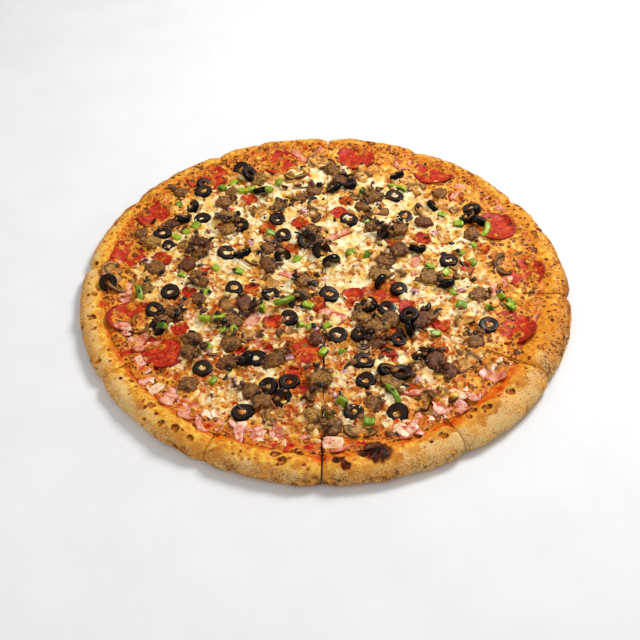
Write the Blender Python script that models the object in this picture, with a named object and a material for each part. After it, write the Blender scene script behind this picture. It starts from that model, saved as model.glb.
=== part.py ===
"""A large loaded pizza, cut into twelve slices that still keep its round shape.

Each slice has a crust, the baked dough with its rim, and a topping layer of sauce and
cheese with the small toppings set in it. Pepperoni, ham and mushroom slices that lie
clear of the cuts are pieces of their own. X runs right, Y away from the viewer and Z
up, and the origin is under the middle, on the surface that the pizza lies on. Lengths
are in millimetres and bearings in degrees from X until a mesh is made.
"""

import itertools
import math
import random

import bmesh
import bpy
from mathutils import Matrix, Vector, noise
from mathutils.bvhtree import BVHTree
from mathutils.geometry import delaunay_2d_cdt

MM = 0.001

# Driving sizes
OUTER_RADIUS = 203.0
BASE_THICKNESS = 6.0
CHEESE_THICKNESS = 3.2
CHEESE_EDGE_THICKNESS = 1.1
LAYER_GAP = 0.4
PIECE_GAP = 0.5
CUT_GAP = 0.7
FRONT_CUT_GAP = 1.2
TIP_RADIUS = 2.6
TRIM_HEIGHT = 1.2

# The six straight cuts, and the one that stands open
CUT_BEARINGS = (32.0, 64.0, 89.0, 120.0, 148.0, 175.0)
OPEN_CUT = 269.0

# The rim at a bearing: where the flat middle ends, where the cheese ends, the crest's
# radius and the crest's height
RIM_FORM = (
    (0.0, 168.0, 180.0, 190.0, 13.5),
    (30.0, 176.0, 187.0, 194.0, 12.0),
    (60.0, 180.0, 190.5, 195.0, 11.5),
    (90.0, 180.0, 190.5, 195.0, 11.5),
    (120.0, 178.0, 189.5, 194.5, 11.5),
    (150.0, 172.0, 186.0, 193.0, 12.5),
    (180.0, 166.0, 181.0, 191.0, 14.0),
    (210.0, 163.0, 179.0, 190.0, 16.0),
    (240.0, 164.0, 180.0, 190.5, 17.0),
    (270.0, 164.0, 180.0, 190.5, 17.5),
    (300.0, 158.0, 173.0, 188.0, 18.0),
    (330.0, 155.0, 170.0, 187.0, 17.0),
)
# How the rim rounds off at a cut
CORNER_LENGTH = 6.0
CORNER_DEPTH = 2.6
CORNER_DROP = 1.6
# The rim's outer face: the shoulder between crest and side, then the side and the foot
SHOULDER_PLACE = 0.62
SHOULDER_HEIGHT = 0.84
SIDE_HEIGHT = 0.46
UNDERCUT_HEIGHT = 0.17
UNDERCUT = 1.8
FOOT_INSET = 7.0
# How the meshes are divided, and how far they reach past a cut before they are cut
COLUMN_SPACING = 14.0
MARGIN = 3.0
FLAT_ANGLES = (6.0, 4.0, 2.0, 1.0, 0.3)
CHEESE_SPACING = 26.0
KNIFE_BOTTOM = -5.0
KNIFE_HEIGHT = 60.0

# Blisters of the rim: place, radius and height
BUBBLES = (
    (37, -183, 13, 3.5),
    (12, -190, 10, 2.0),
    (-113, -158, 14, 2.5),
    (-27, -186, 11, 2.0),
    (126, -139, 13, 2.5),
    (-190, -38, 12, 2.0),
    (168, -96, 14, 2.0),
)

# Where the toppings lie. An olive's third value is its lean: 0 flat, 1 leaning, 2 on edge.
OLIVES = (
    (-110, 126, 1), (-110, 115, 0), (-118, 93, 1), (-125, 77, 1), (-108, 78, 0), (-141, 57, 0),
    (-134, 42, 1), (-74, 69, 0), (-84, 33, 0), (-77, 148, 1), (-69, 138, 1), (-57, 117, 1),
    (8, 120, 1), (66, 139, 1), (63, 109, 0), (70, 80, 0), (21, 76, 0), (-42, 76, 0),
    (-36, 55, 0), (-16, 45, 1), (-3, 33, 1), (5, 20, 2), (-36, 27, 2), (-70, 32, 1),
    (97, 94, 1), (130, 89, 1), (125, 78, 1), (134, 73, 1), (104, 22, 0), (79, 39, 1),
    (45, -6, 2), (60, -12, 0), (3, -18, 0), (-45, -17, 0), (-75, -10, 0), (-22, -27, 1),
    (-29, -45, 0), (-127, -15, 0), (-137, -37, 0), (-94, -98, 0), (-132, -57, 1),
    (-178, -8, 1), (99, -6, 1), (129, -53, 0), (49, -35, 0), (35, -31, 1), (9, -64, 0),
    (27, -64, 0), (57, -69, 0), (66, -47, 0), (66, -58, 2), (73, -83, 1), (29, -91, 0),
    (30, -111, 0), (46, -101, 1), (57, -105, 0), (-54, -88, 0), (-62, -90, 1), (-28, -112, 0),
    (-32, -130, 1), (-43, -117, 1), (-61, -141, 0), (20, -141, 0), (52, -142, 1),
)
SAUSAGE = (
    (-159, 58), (-148, 46), (-119, 43), (-107, 45), (-107, 32), (-133, 71), (-130, 115),
    (-90, 100), (-85, 116), (-86, 80), (-85, 63), (-61, 133), (7, 147), (15, 131), (43, 107),
    (33, 94), (41, 67), (54, 60), (-22, 106), (-9, 116), (-40, 95), (-12, 59), (-8, 46),
    (-48, 38), (-48, 18), (51, 22), (63, 36), (87, 72), (103, 111), (127, 56), (88, 0),
    (45, 5), (-147, -9), (-122, -38), (-127, -48), (-105, -68), (-105, -81), (-75, -92),
    (-74, -72), (-75, -47), (-103, -23), (-106, 3), (-116, 18), (-142, 13), (-65, -30),
    (-17, -3), (-19, -17), (29, -44), (52, -48), (41, -57), (38, -74), (-7, -68), (-40, -91),
    (124, -19), (117, -71), (94, -102), (82, -42), (75, -50), (84, -92), (-56, -121),
    (-47, -131), (-4, -112), (34, -134), (50, -113), (5, -155), (-10, -144), (-103, -114),
)
PEPPER_DICE = (
    (-93, 121), (-83, 127), (-41, 128), (-50, 111), (-130, 97), (-113, 68), (-121, 61),
    (-128, 53), (-47, 57), (-24, 25), (22, 34), (36, 74), (35, 112), (103, 83), (117, 71),
    (127, 42), (115, 33), (124, 20), (100, 8), (88, 15), (-91, 14), (-72, 10), (-119, 5),
    (-97, -15), (-82, -58), (-72, -58), (-128, -60), (-92, -75), (-85, -110), (-51, -36),
    (-14, -32), (-20, -53), (-11, -55), (1, -53), (13, -81), (-2, -83), (143, -20),
    (150, -27), (110, -30), (104, -16), (132, -34), (86, -62), (12, -132), (2, -145), (31, -150),
)
# The strips' third value is their bearing, and the last is their length
PEPPER_STRIPS = (
    (-71, 117, 20, 18), (66, 121, 150, 19), (139, 60, 70, 17), (-152, -19, 100, 17),
    (-90, -46, 8, 21), (-33, -30, 35, 19), (50, -125, 120, 18),
)
# The last value of each slice of meat or mushroom is its bearing
PEPPERONI = (
    (-110, 140, 0), (-150, 85, 40), (-170, 28, 0), (-42, 160, 70), (29, 168, 0), (101, 146, 20),
    (147, 69, 0), (164, 10, 50), (152, -57, 0), (-156, -43, 0), (-125, -78, 30), (47, -16, 0),
    (48, -68, 80), (-19, -80, 100), (-18, -112, 90),
)
HAM = (
    (-152, 108, 30), (-20, 171, 10), (73, 162, 160), (120, 117, 140), (160, 104, 110),
    (145, -5, 5), (-183, 12, 90), (-161, -14, 60), (-140, -69, 120), (-49, -72, 20),
    (131, -105, 40), (-102, -140, 140), (-85, -152, 170), (-40, -158, 10), (10, -170, 0),
    (55, -157, 25), (78, -140, 30), (64, -117, 100), (93, -133, 45), (-28, 8, 80),
)
MUSHROOMS = (
    (-7, 164, 60), (33, 140, 20), (45, 89, 110), (-30, 130, 200), (-58, 88, 150), (-59, 28, 40),
    (82, 121, 300), (87, 88, 70), (118, 96, 10), (114, 10, 190), (150, 17, 90), (-170, -5, 120),
    (-150, -53, 250), (-79, -27, 330), (-61, -60, 100), (-30, -64, 20), (-44, -4, 80),
    (108, -52, 200), (112, -91, 40), (75, -129, 60), (24, -157, 10), (-5, -127, 300),
    (-40, -142, 90),
)
MOST_PEPPERONI_NODES = 13
MOST_HAM_NODES = 11
MOST_MUSHROOM_NODES = 12
MOST_MOVE = 6.0
RIM_OVERHANG = 6.0
RIM_CLEARANCE = 3.0

# The toppings' sizes, and how high their middles lie over the cheese
PEPPERONI_RADIUS = 18.5
PEPPERONI_THICKNESS = 1.8
HAM_LENGTH = 26.0
HAM_WIDTH = 17.0
HAM_THICKNESS = 1.4
SET_HAM_THICKNESS = 2.6
MUSHROOM_CAP_RADIUS = 12.5
MUSHROOM_THICKNESS = 3.2
OLIVE_RADIUS = 8.0
OLIVE_HOLE = 0.42
OLIVE_HALF_THICKNESS = (2.1, 2.7)
OLIVE_TILTS = ((2.0, 9.0), (28.0, 50.0), (68.0, 80.0))
OLIVE_LIFTS = (1.4, 2.6, 4.6)
SAUSAGE_RADIUS = 7.6
SAUSAGE_LIFT = 2.6
DICE_SIZE = 8.5
DICE_HEIGHT = 4.2
DICE_TILT = 16.0
DICE_LIFT = 1.5
STRIP_WIDTH = 5.0
STRIP_HEIGHT = 4.6
STRIP_LIFT = 1.6
SET_SLICE_TILT = 5.0
SET_SLICE_LIFT = 0.9
# Every second piece of diced pepper is solid, as the others are small
DICE_STEP = 2
FARTHEST_NUDGE = 7.0
REST_STEP = 1.5

OLIVE_SIDES = 6
LUMP_SIDES = 5
PEPPERONI_SIDES = 12
HAM_STEPS = 3

# Colour and roughness
DOUGH = ((0.66, 0.40, 0.17), 0.75)
CHEESE = ((0.86, 0.58, 0.20), 0.45)
PEPPERONI_MEAT = ((0.55, 0.08, 0.03), 0.4)
HAM_MEAT = ((0.80, 0.36, 0.30), 0.45)
MUSHROOM_FLESH = ((0.55, 0.36, 0.20), 0.55)


def smoothstep(value):
    value = min(max(value, 0.0), 1.0)
    return value * value * (3.0 - 2.0 * value)


def polar(radius, bearing):
    angle = math.radians(bearing)
    return radius * math.cos(angle), radius * math.sin(angle)


def bearing_of(x, y):
    return math.degrees(math.atan2(y, x)) % 360.0


def slice_bounds():
    """The first and last bearing of each slice, the last above the first."""
    cuts = sorted(CUT_BEARINGS + tuple(bearing + 180.0 for bearing in CUT_BEARINGS))
    return list(zip(cuts, cuts[1:] + [cuts[0] + 360.0]))


def gap_at(bearing):
    return FRONT_CUT_GAP if bearing % 360.0 == OPEN_CUT else CUT_GAP


def ripple(bearing, wavelength, seed):
    """Noise round the rim that closes on itself."""
    x, y = polar(OUTER_RADIUS / wavelength, bearing)
    return noise.noise(Vector((x, y, seed)))


def distance_to_cut(radius, bearing):
    """How far along the arc the nearest cut is."""
    turns = [abs((bearing - cut + 90.0) % 180.0 - 90.0) for cut in CUT_BEARINGS]
    return math.radians(min(turns)) * radius


def rim_form(bearing):
    """The rim's four sizes at a bearing, eased between the rows of RIM_FORM."""
    step = 360.0 / len(RIM_FORM)
    place = (bearing % 360.0) / step
    row = int(place) % len(RIM_FORM)
    after = RIM_FORM[(row + 1) % len(RIM_FORM)]
    part = smoothstep(place - int(place))
    flat, edge, crest, height = (
        a + (b - a) * part for a, b in zip(RIM_FORM[row][1:], after[1:])
    )
    edge += 1.8 * ripple(bearing, 14.0, 1.0)
    crest += 1.0 * ripple(bearing, 25.0, 2.0)
    height += 1.6 * ripple(bearing, 22.0, 3.0)
    height -= CORNER_DROP * math.exp(-((distance_to_cut(crest, bearing) / CORNER_LENGTH) ** 2))
    return flat, min(edge, crest - 3.0), crest, height


def dough_height(radius, bearing):
    """The top of the dough: flat, then a straight slope to the cheese's edge, then the rim."""
    flat, edge, crest, height = rim_form(bearing)
    rise = smoothstep((max(radius, edge) - flat) / (crest - flat))
    slope = min(max((radius - flat) / (edge - flat), 0.0), 1.0)
    return BASE_THICKNESS + (height - BASE_THICKNESS) * rise * slope


def bubble_lift(radius, bearing):
    x, y = polar(radius, bearing)
    lift = 0.0
    for centre_x, centre_y, reach, height in BUBBLES:
        distance = math.hypot(x - centre_x, y - centre_y) / reach
        lift += height * smoothstep(1.0 - distance)
    return lift


def outer_radius(bearing):
    corner = math.exp(-((distance_to_cut(OUTER_RADIUS, bearing) / CORNER_LENGTH) ** 2))
    wobble = 1.0 * ripple(bearing, 40.0, 4.0) + 0.8 * ripple(bearing, 15.0, 5.0)
    return OUTER_RADIUS - 0.8 + wobble - CORNER_DEPTH * corner


def crust_profile(bearing):
    """(radius, height) of the dough's rings, from its flat middle over the rim to its foot."""
    flat, edge, crest, height = rim_form(bearing)
    outer = outer_radius(bearing)
    inside = [flat, edge, (edge + crest) / 2.0, crest]
    points = [(radius, dough_height(radius, bearing)) for radius in inside]
    for ring in (2, 3):
        radius, z = points[ring]
        points[ring] = (radius, z + bubble_lift(radius, bearing))
    shoulder = crest + SHOULDER_PLACE * (outer - crest)
    shoulder_height = SHOULDER_HEIGHT * height + 0.8 * ripple(bearing, 12.0, 6.0)
    points.append((shoulder, shoulder_height + bubble_lift(shoulder, bearing)))
    points.append((outer, SIDE_HEIGHT * height + 0.8 * ripple(bearing, 14.0, 7.0)))
    points.append((outer - UNDERCUT, UNDERCUT_HEIGHT * height))
    points.append((outer - FOOT_INSET + 1.2 * ripple(bearing, 18.0, 8.0), 0.0))
    return points


def cheese_top(radius, bearing):
    """The height of the cheese, without the toppings."""
    flat, edge, _, _ = rim_form(bearing)
    x, y = polar(radius, bearing)
    out = smoothstep((radius - flat + 12.0) / (edge - flat + 12.0))
    thickness = CHEESE_THICKNESS + (CHEESE_EDGE_THICKNESS - CHEESE_THICKNESS) * out
    lumps = 0.9 * noise.noise(Vector((x / 26.0, y / 26.0, 9.0)))
    lumps += 0.5 * noise.noise(Vector((x / 12.0, y / 12.0, 10.0)))
    return dough_height(radius, bearing) + LAYER_GAP + thickness + lumps * (1.0 - out)


def cheese_top_at(x, y):
    return cheese_top(math.hypot(x, y), bearing_of(x, y))


def columns_between(first, last):
    """Bearings across a slice and just past its cuts, close together near the cuts."""
    corner = math.degrees(CORNER_LENGTH / OUTER_RADIUS)
    inner = last - first - 2.0 * corner
    steps = max(2, round(math.radians(inner) * OUTER_RADIUS / COLUMN_SPACING))
    middle = [first + corner + inner * step / steps for step in range(steps + 1)]
    return [first - MARGIN, first] + middle + [last, last + MARGIN]


def new_object(name, bm, surface):
    """An object whose millimetre mesh is brought to metres."""
    bmesh.ops.recalc_face_normals(bm, faces=bm.faces)
    bmesh.ops.scale(bm, vec=(MM, MM, MM), verts=bm.verts)
    mesh = bpy.data.meshes.new(name)
    bm.to_mesh(mesh)
    bm.free()
    mesh.materials.append(surface)
    made = bpy.data.objects.new(name, mesh)
    bpy.context.scene.collection.objects.link(made)
    return made


def material(name, colour, roughness):
    surface = bpy.data.materials.new(name)
    surface.use_nodes = True
    shader = surface.node_tree.nodes["Principled BSDF"]
    shader.inputs["Base Color"].default_value = (*colour, 1.0)
    shader.inputs["Roughness"].default_value = roughness
    shader.inputs["Metallic"].default_value = 0.0
    return surface


def add_strips(bm, rings):
    """Faces between neighbouring rings of points."""
    for low, high in zip(rings, rings[1:]):
        for column in range(len(low) - 1):
            bm.faces.new((low[column], low[column + 1], high[column + 1], high[column]))


def add_split_strips(bm, rings):
    """Triangles between neighbouring rings of points, always split the same way."""
    for low, high in zip(rings, rings[1:]):
        for column in range(len(low) - 1):
            bm.faces.new((low[column], low[column + 1], high[column + 1]))
            bm.faces.new((low[column], high[column + 1], high[column]))


def wide_crust(first, last):
    """A slice of dough that reaches a little past both cuts."""
    bm = bmesh.new()
    columns = columns_between(first, last)
    profiles = [crust_profile(bearing) for bearing in columns]
    rings = []
    for ring in range(len(profiles[0])):
        points = [
            (*polar(profile[ring][0], bearing), profile[ring][1])
            for profile, bearing in zip(profiles, columns)
        ]
        rings.append([bm.verts.new(point) for point in points])
    add_split_strips(bm, rings)
    ends = [(polar(TIP_RADIUS / 2.0, bearing)) for bearing in (columns[0], columns[-1])]
    top = [bm.verts.new((*end, BASE_THICKNESS)) for end in ends]
    bottom = [bm.verts.new((*end, 0.0)) for end in ends]
    bm.faces.new(rings[0] + [top[1], top[0]])
    bm.faces.new(rings[-1] + [bottom[1], bottom[0]])
    bm.faces.new((top[0], top[1], bottom[1], bottom[0]))
    for side in (0, -1):
        bm.faces.new([ring[side] for ring in rings] + [bottom[side], top[side]])
    return bm


def add_underside(bm, columns):
    """The cheese's underside on the dough: its rings of points, and its corners at the tip."""
    rings = []
    for ring in (0, 1):
        profiles = [crust_profile(bearing)[ring] for bearing in columns]
        points = [
            (*polar(radius, bearing), z + LAYER_GAP)
            for (radius, z), bearing in zip(profiles, columns)
        ]
        rings.append([bm.verts.new(point) for point in points])
    add_split_strips(bm, rings)
    ends = (columns[0], columns[-1])
    bottom = [
        bm.verts.new((*polar(TIP_RADIUS / 2.0, bearing), BASE_THICKNESS + LAYER_GAP))
        for bearing in ends
    ]
    bm.faces.new(rings[0] + [bottom[1], bottom[0]])
    return rings, bottom


def layer_outline(columns, edge_radii):
    """(radius, bearing) out along one cut, round the edge and back along the other cut, and
    how many of them are on the first cut."""
    side_radii = [TIP_RADIUS / 2.0] + [CHEESE_SPACING * 1.2 * step for step in range(1, 8)]
    outline = [(radius, columns[0]) for radius in side_radii if radius < edge_radii[0] - 6.0]
    first_count = len(outline)
    outline += list(zip(edge_radii, columns))
    last_side = [(radius, columns[-1]) for radius in side_radii if radius < edge_radii[-1] - 6.0]
    return outline + last_side[::-1], first_count


def wide_layer(first, last, rng):
    """The cheese of a slice, reaching a little past both cuts, its top in even triangles."""
    bm = bmesh.new()
    columns = columns_between(first, last)
    rings, bottom = add_underside(bm, columns)
    edge_radii = [rim_form(bearing)[1] for bearing in columns]
    outline, first_count = layer_outline(columns, edge_radii)
    inside = scattered_inside(first, last, edge_radii, columns, rng)
    points = [Vector(polar(radius, bearing)) for radius, bearing in outline + inside]
    border = [(index, (index + 1) % len(outline)) for index in range(len(outline))]
    flat_points, _, triangles, _, _, _ = delaunay_2d_cdt(points, border, [], 1, 1e-4)
    tops = [bm.verts.new((x, y, cheese_top_at(x, y))) for x, y in flat_points]
    for triangle in triangles:
        bm.faces.new([tops[index] for index in triangle])

    rim_top = tops[first_count:first_count + len(columns)]
    add_split_strips(bm, [rings[-1], rim_top])
    first_top = tops[:first_count]
    last_top = tops[first_count + len(columns):len(outline)][::-1]
    for side, sloping in ((0, first_top), (-1, last_top)):
        wall = sloping + [rim_top[side]] + [ring[side] for ring in rings[::-1]] + [bottom[side]]
        bm.faces.new(wall)
    bm.faces.new((first_top[0], last_top[0], bottom[1], bottom[0]))
    return bm


def scattered_inside(first, last, edge_radii, columns, rng):
    """(radius, bearing) of points spread over the cheese, on jittered arcs."""
    places = []
    radius = 20.0
    while radius < 184.0:
        count = max(1, round(math.radians(last - first) * radius / CHEESE_SPACING))
        for step in range(count):
            bearing = first + (last - first) * (step + 0.5 + rng.uniform(-0.2, 0.2)) / count
            place = radius + rng.uniform(-3.0, 3.0)
            limit = min(
                edge for edge, column in zip(edge_radii, columns) if abs(column - bearing) < 6.0
            )
            if place < limit - 14.0:
                places.append((place, bearing))
        radius += 0.9 * CHEESE_SPACING
    return places


def wedge(first, last):
    """The space of one slice between its cuts, with a blunt tip."""
    outline = []
    far = OUTER_RADIUS * 1.15
    for bearing, side in ((first, 0.5), (last, -0.5)):
        away = Vector(polar(gap_at(bearing) * side, bearing + 90.0))
        ends = [Vector(polar(radius, bearing)) + away for radius in (TIP_RADIUS, far)]
        outline += ends if side > 0.0 else ends[::-1]
    bm = bmesh.new()
    low = [bm.verts.new((x, y, KNIFE_BOTTOM)) for x, y in outline]
    face = bm.faces.new(low)
    grown = bmesh.ops.extrude_face_region(bm, geom=[face])
    raised = [item for item in grown["geom"] if isinstance(item, bmesh.types.BMVert)]
    bmesh.ops.translate(bm, vec=(0.0, 0.0, KNIFE_HEIGHT), verts=raised)
    return bm


def ring_of_points(bm, radius, z, sides):
    """A closed ring of vertices, its first repeated at the end."""
    around = [polar(radius, 360.0 * side / sides) for side in range(sides)]
    points = [bm.verts.new((x, y, z)) for x, y in around]
    return points + points[:1]


def leaning_olive(outer, half):
    """An olive slice whose hole shows from both sides."""
    bm = bmesh.new()
    inner = outer * OLIVE_HOLE
    corners = ((outer, -half), (outer, half), (inner, half), (inner, -half))
    rings = [ring_of_points(bm, radius, z, OLIVE_SIDES) for radius, z in corners]
    add_strips(bm, rings + rings[:1])
    return bm


def flat_olive(outer, half):
    """An olive slice lying flat, its hole closed by the cheese under it."""
    bm = bmesh.new()
    corners = ((outer, -half), (outer, half), (outer * OLIVE_HOLE, half))
    rings = [ring_of_points(bm, radius, z, OLIVE_SIDES) for radius, z in corners]
    add_strips(bm, rings)
    bottom = bm.verts.new((0.0, 0.0, 0.1 - half))
    for near, far in zip(rings[-1], rings[-1][1:]):
        bm.faces.new((near, far, bottom))
    bm.faces.new(rings[0][:-1])
    return bm


def lump(radius, rng):
    """A crumbled piece of sausage, rough and wider at its foot."""
    bm = bmesh.new()
    rings = []
    for share, z in ((1.0, -0.5 * radius), (0.66, 0.62 * radius)):
        points = []
        for side in range(LUMP_SIDES):
            reach = radius * share * rng.uniform(0.86, 1.16)
            x, y = polar(reach, 360.0 * (side + 0.6 * share) / LUMP_SIDES)
            points.append(bm.verts.new((x, y, z + rng.uniform(-0.8, 0.8))))
        rings.append(points + points[:1])
    add_strips(bm, rings)
    middle = bm.verts.new((0.0, 0.0, 0.8 * radius))
    for near, far in zip(rings[-1], rings[-1][1:]):
        bm.faces.new((near, far, middle))
    bm.faces.new(rings[0][:-1])
    return bm


def block(length, width, height, rng):
    """A cut piece of pepper with uneven corners."""
    bm = bmesh.new()
    bmesh.ops.create_cube(bm, size=1.0)
    for vert in bm.verts:
        vert.co = Vector((vert.co.x * length, vert.co.y * width, vert.co.z * height))
        vert.co += Vector([rng.uniform(-0.6, 0.6) for _ in range(3)])
    return bm


def slab(outline, thickness):
    """A flat piece with the given outline, between two heights."""
    bm = bmesh.new()
    low = [bm.verts.new((x, y, -thickness / 2.0)) for x, y in outline]
    high = [bm.verts.new((x, y, thickness / 2.0)) for x, y in outline]
    add_strips(bm, [low + low[:1], high + high[:1]])
    bm.faces.new(low[::-1])
    bm.faces.new(high)
    return bm


def mushroom_slice(rng, arc_steps=8):
    """A mushroom cut lengthways: a cap over a stem."""
    cap = MUSHROOM_CAP_RADIUS * rng.uniform(0.9, 1.08)
    stem = 0.3 * cap
    outline = []
    for step in range(arc_steps + 1):
        x, y = polar(cap, -14.0 + 208.0 * step / arc_steps)
        outline.append((x, 0.72 * y))
    outline += [(-stem, -0.1 * cap), (-stem * 1.2, -0.85 * cap), (stem * 1.2, -0.85 * cap)]
    outline.append((stem, -0.1 * cap))
    return slab(outline, MUSHROOM_THICKNESS)


def plain_mushroom_slice(rng):
    return mushroom_slice(rng, 5)


def plain_ham_slice(rng):
    """A torn piece of ham that lies in the cheese."""
    outline = []
    for side in range(7):
        x, y = polar(rng.uniform(0.8, 1.05), 360.0 * side / 7.0)
        outline.append((0.5 * HAM_LENGTH * x, 0.5 * HAM_WIDTH * y))
    return slab(outline, SET_HAM_THICKNESS)


def ham_slice(rng):
    """A torn piece of ham, wavy and thin, both faces split alike."""
    bm = bmesh.new()
    steps = HAM_STEPS
    phase = rng.uniform(0.0, 360.0)
    sheets = []
    for lift in (-0.5 * HAM_THICKNESS, 0.5 * HAM_THICKNESS):
        grid = []
        for row in range(steps + 1):
            v = row / steps - 0.5
            line = []
            for column in range(steps + 1):
                u = column / steps - 0.5
                x = HAM_LENGTH * u * (1.0 - 0.5 * abs(v))
                y = HAM_WIDTH * v * (1.0 - 0.4 * abs(u))
                z = 1.3 * math.sin(math.radians(phase + 300.0 * u + 140.0 * v))
                line.append(bm.verts.new((x, y, z + lift)))
            grid.append(line)
        add_strips(bm, grid)
        sheets.append(grid)
    borders = []
    for grid in sheets:
        right = [line[-1] for line in grid[1:-1]]
        left = [line[0] for line in grid[1:-1]]
        borders.append(grid[0] + right + grid[-1][::-1] + left[::-1])
    add_strips(bm, [border + border[:1] for border in borders])
    bmesh.ops.triangulate(bm, faces=bm.faces, quad_method="FIXED")
    return bm


def pepperoni_slice(rng):
    """A slice of pepperoni whose edge has cupped upward in the oven."""
    bm = bmesh.new()
    phase = rng.uniform(0.0, 360.0)
    radius = PEPPERONI_RADIUS * rng.uniform(0.94, 1.04)
    sheets = []
    for lift in (-0.5 * PEPPERONI_THICKNESS, 0.5 * PEPPERONI_THICKNESS):
        rings = []
        for share in (0.68, 1.0):
            ring = []
            for side in range(PEPPERONI_SIDES):
                turn = 360.0 * side / PEPPERONI_SIDES
                cup = 1.6 + 0.9 * math.cos(math.radians(2.0 * turn + phase))
                x, y = polar(radius * share, turn)
                ring.append(bm.verts.new((x, y, lift + (cup if share == 1.0 else 0.0))))
            rings.append(ring + ring[:1])
        add_strips(bm, rings)
        bm.faces.new(rings[0][:-1])
        sheets.append(rings)
    add_strips(bm, [sheets[0][1], sheets[1][1]])
    return bm


def ground_turn(x, y, reach):
    """The rotation that lays a piece along the slope of the cheese there."""
    rise_x = cheese_top_at(x + reach, y) - cheese_top_at(x - reach, y)
    rise_y = cheese_top_at(x, y + reach) - cheese_top_at(x, y - reach)
    normal = Vector((-rise_x, -rise_y, 2.0 * reach)).normalized()
    return Vector((0.0, 0.0, 1.0)).rotation_difference(normal).to_matrix().to_4x4()


def trim_below(bm, x, y, slope, reach):
    """Cuts off what would reach through the cheese, along a plane inside it."""
    normal = slope @ Vector((0.0, 0.0, 1.0))
    middle = dough_height(math.hypot(x, y), bearing_of(x, y))
    bulge = 0.0
    for side in range(8):
        step_x, step_y = polar(reach, 45.0 * side)
        edge_x, edge_y = x + step_x, y + step_y
        plane = middle - (normal.x * step_x + normal.y * step_y) / normal.z
        dough = dough_height(math.hypot(edge_x, edge_y), bearing_of(edge_x, edge_y))
        bulge = max(bulge, dough - plane)
    bmesh.ops.bisect_plane(
        bm,
        geom=bm.verts[:] + bm.edges[:] + bm.faces[:],
        plane_co=(x, y, middle + bulge + LAYER_GAP + TRIM_HEIGHT),
        plane_no=normal,
        clear_inner=True,
    )
    bmesh.ops.holes_fill(bm, edges=bm.edges)


def stand(bm, x, y, reach, lift, turn, tilt=0.0):
    """Turns, tilts and places a piece on the cheese, its middle at the given lift."""
    place = Matrix.Translation((x, y, cheese_top_at(x, y) + lift))
    slope = ground_turn(x, y, reach)
    lean = Matrix.Rotation(math.radians(tilt), 4, "X")
    spin = Matrix.Rotation(math.radians(turn), 4, "Z")
    bmesh.ops.transform(bm, matrix=place @ slope @ spin @ lean, verts=bm.verts)
    trim_below(bm, x, y, slope, reach)
    return bm


def clear_of_cuts(x, y, reach):
    """Moves a piece off the cuts and the bare rim, where a short way is enough. Or None."""
    bearing = bearing_of(x, y)
    radius = math.hypot(x, y)
    most_radius = rim_form(bearing)[1] - reach + RIM_OVERHANG
    first, last = next(ends for ends in slice_bounds() if (bearing - ends[0]) % 360.0 < ends[1] - ends[0])
    to_first = radius * math.sin(math.radians((bearing - first) % 360.0))
    to_last = radius * math.sin(math.radians((last - bearing) % 360.0))
    need = reach + FRONT_CUT_GAP
    too_narrow = to_first + to_last < 2.0 * need
    if too_narrow or min(to_first, to_last) < need - MOST_MOVE or radius > most_radius + MOST_MOVE:
        return None
    push = max(0.0, need - to_first) - max(0.0, need - to_last)
    step = Vector(polar(push, bearing + 90.0))
    spot = Vector(polar(min(radius, most_radius), bearing)) + step
    return spot.x, spot.y


def choose_pieces(places, reach, most, taken):
    """Splits places into pieces of their own and those that are set in the cheese."""
    own = []
    fused = []
    for x, y, turn in places:
        moved = clear_of_cuts(x, y, reach)
        crowded = moved is None or any(
            math.hypot(moved[0] - other_x, moved[1] - other_y) < reach + other_reach + 0.6
            for other_x, other_y, other_reach in taken
        )
        if crowded or len(own) == most:
            fused.append((x, y, turn))
        else:
            own.append((*moved, turn))
            taken.append((*moved, reach))
    return own, fused


def nudge(x, y, reach, taken):
    """Moves a small topping off the bare rim and the separate pieces. None where a short way
    isn't enough."""
    bearing = bearing_of(x, y)
    most_radius = rim_form(bearing)[1] - reach - RIM_CLEARANCE
    start = Vector(polar(min(math.hypot(x, y), most_radius), bearing))
    spot = start.copy()
    for _ in range(3):
        for other_x, other_y, other_reach in taken:
            away = spot - Vector((other_x, other_y))
            need = reach + other_reach + PIECE_GAP
            if away.length < need:
                spot += away.normalized() * (need - away.length + 0.1)
    clear = all(
        (spot - Vector((other_x, other_y))).length >= reach + other_reach + PIECE_GAP
        for other_x, other_y, other_reach in taken
    )
    return (spot.x, spot.y) if clear and (spot - start).length < FARTHEST_NUDGE else None


def add_fused(loose, bm, x, y, reach, surface):
    """Keeps a topping out of the scene, ready to be joined to the cheese."""
    made = new_object("topping", bm, surface)
    bpy.context.scene.collection.objects.unlink(made)
    loose.append((made, x, y, reach))


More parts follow.
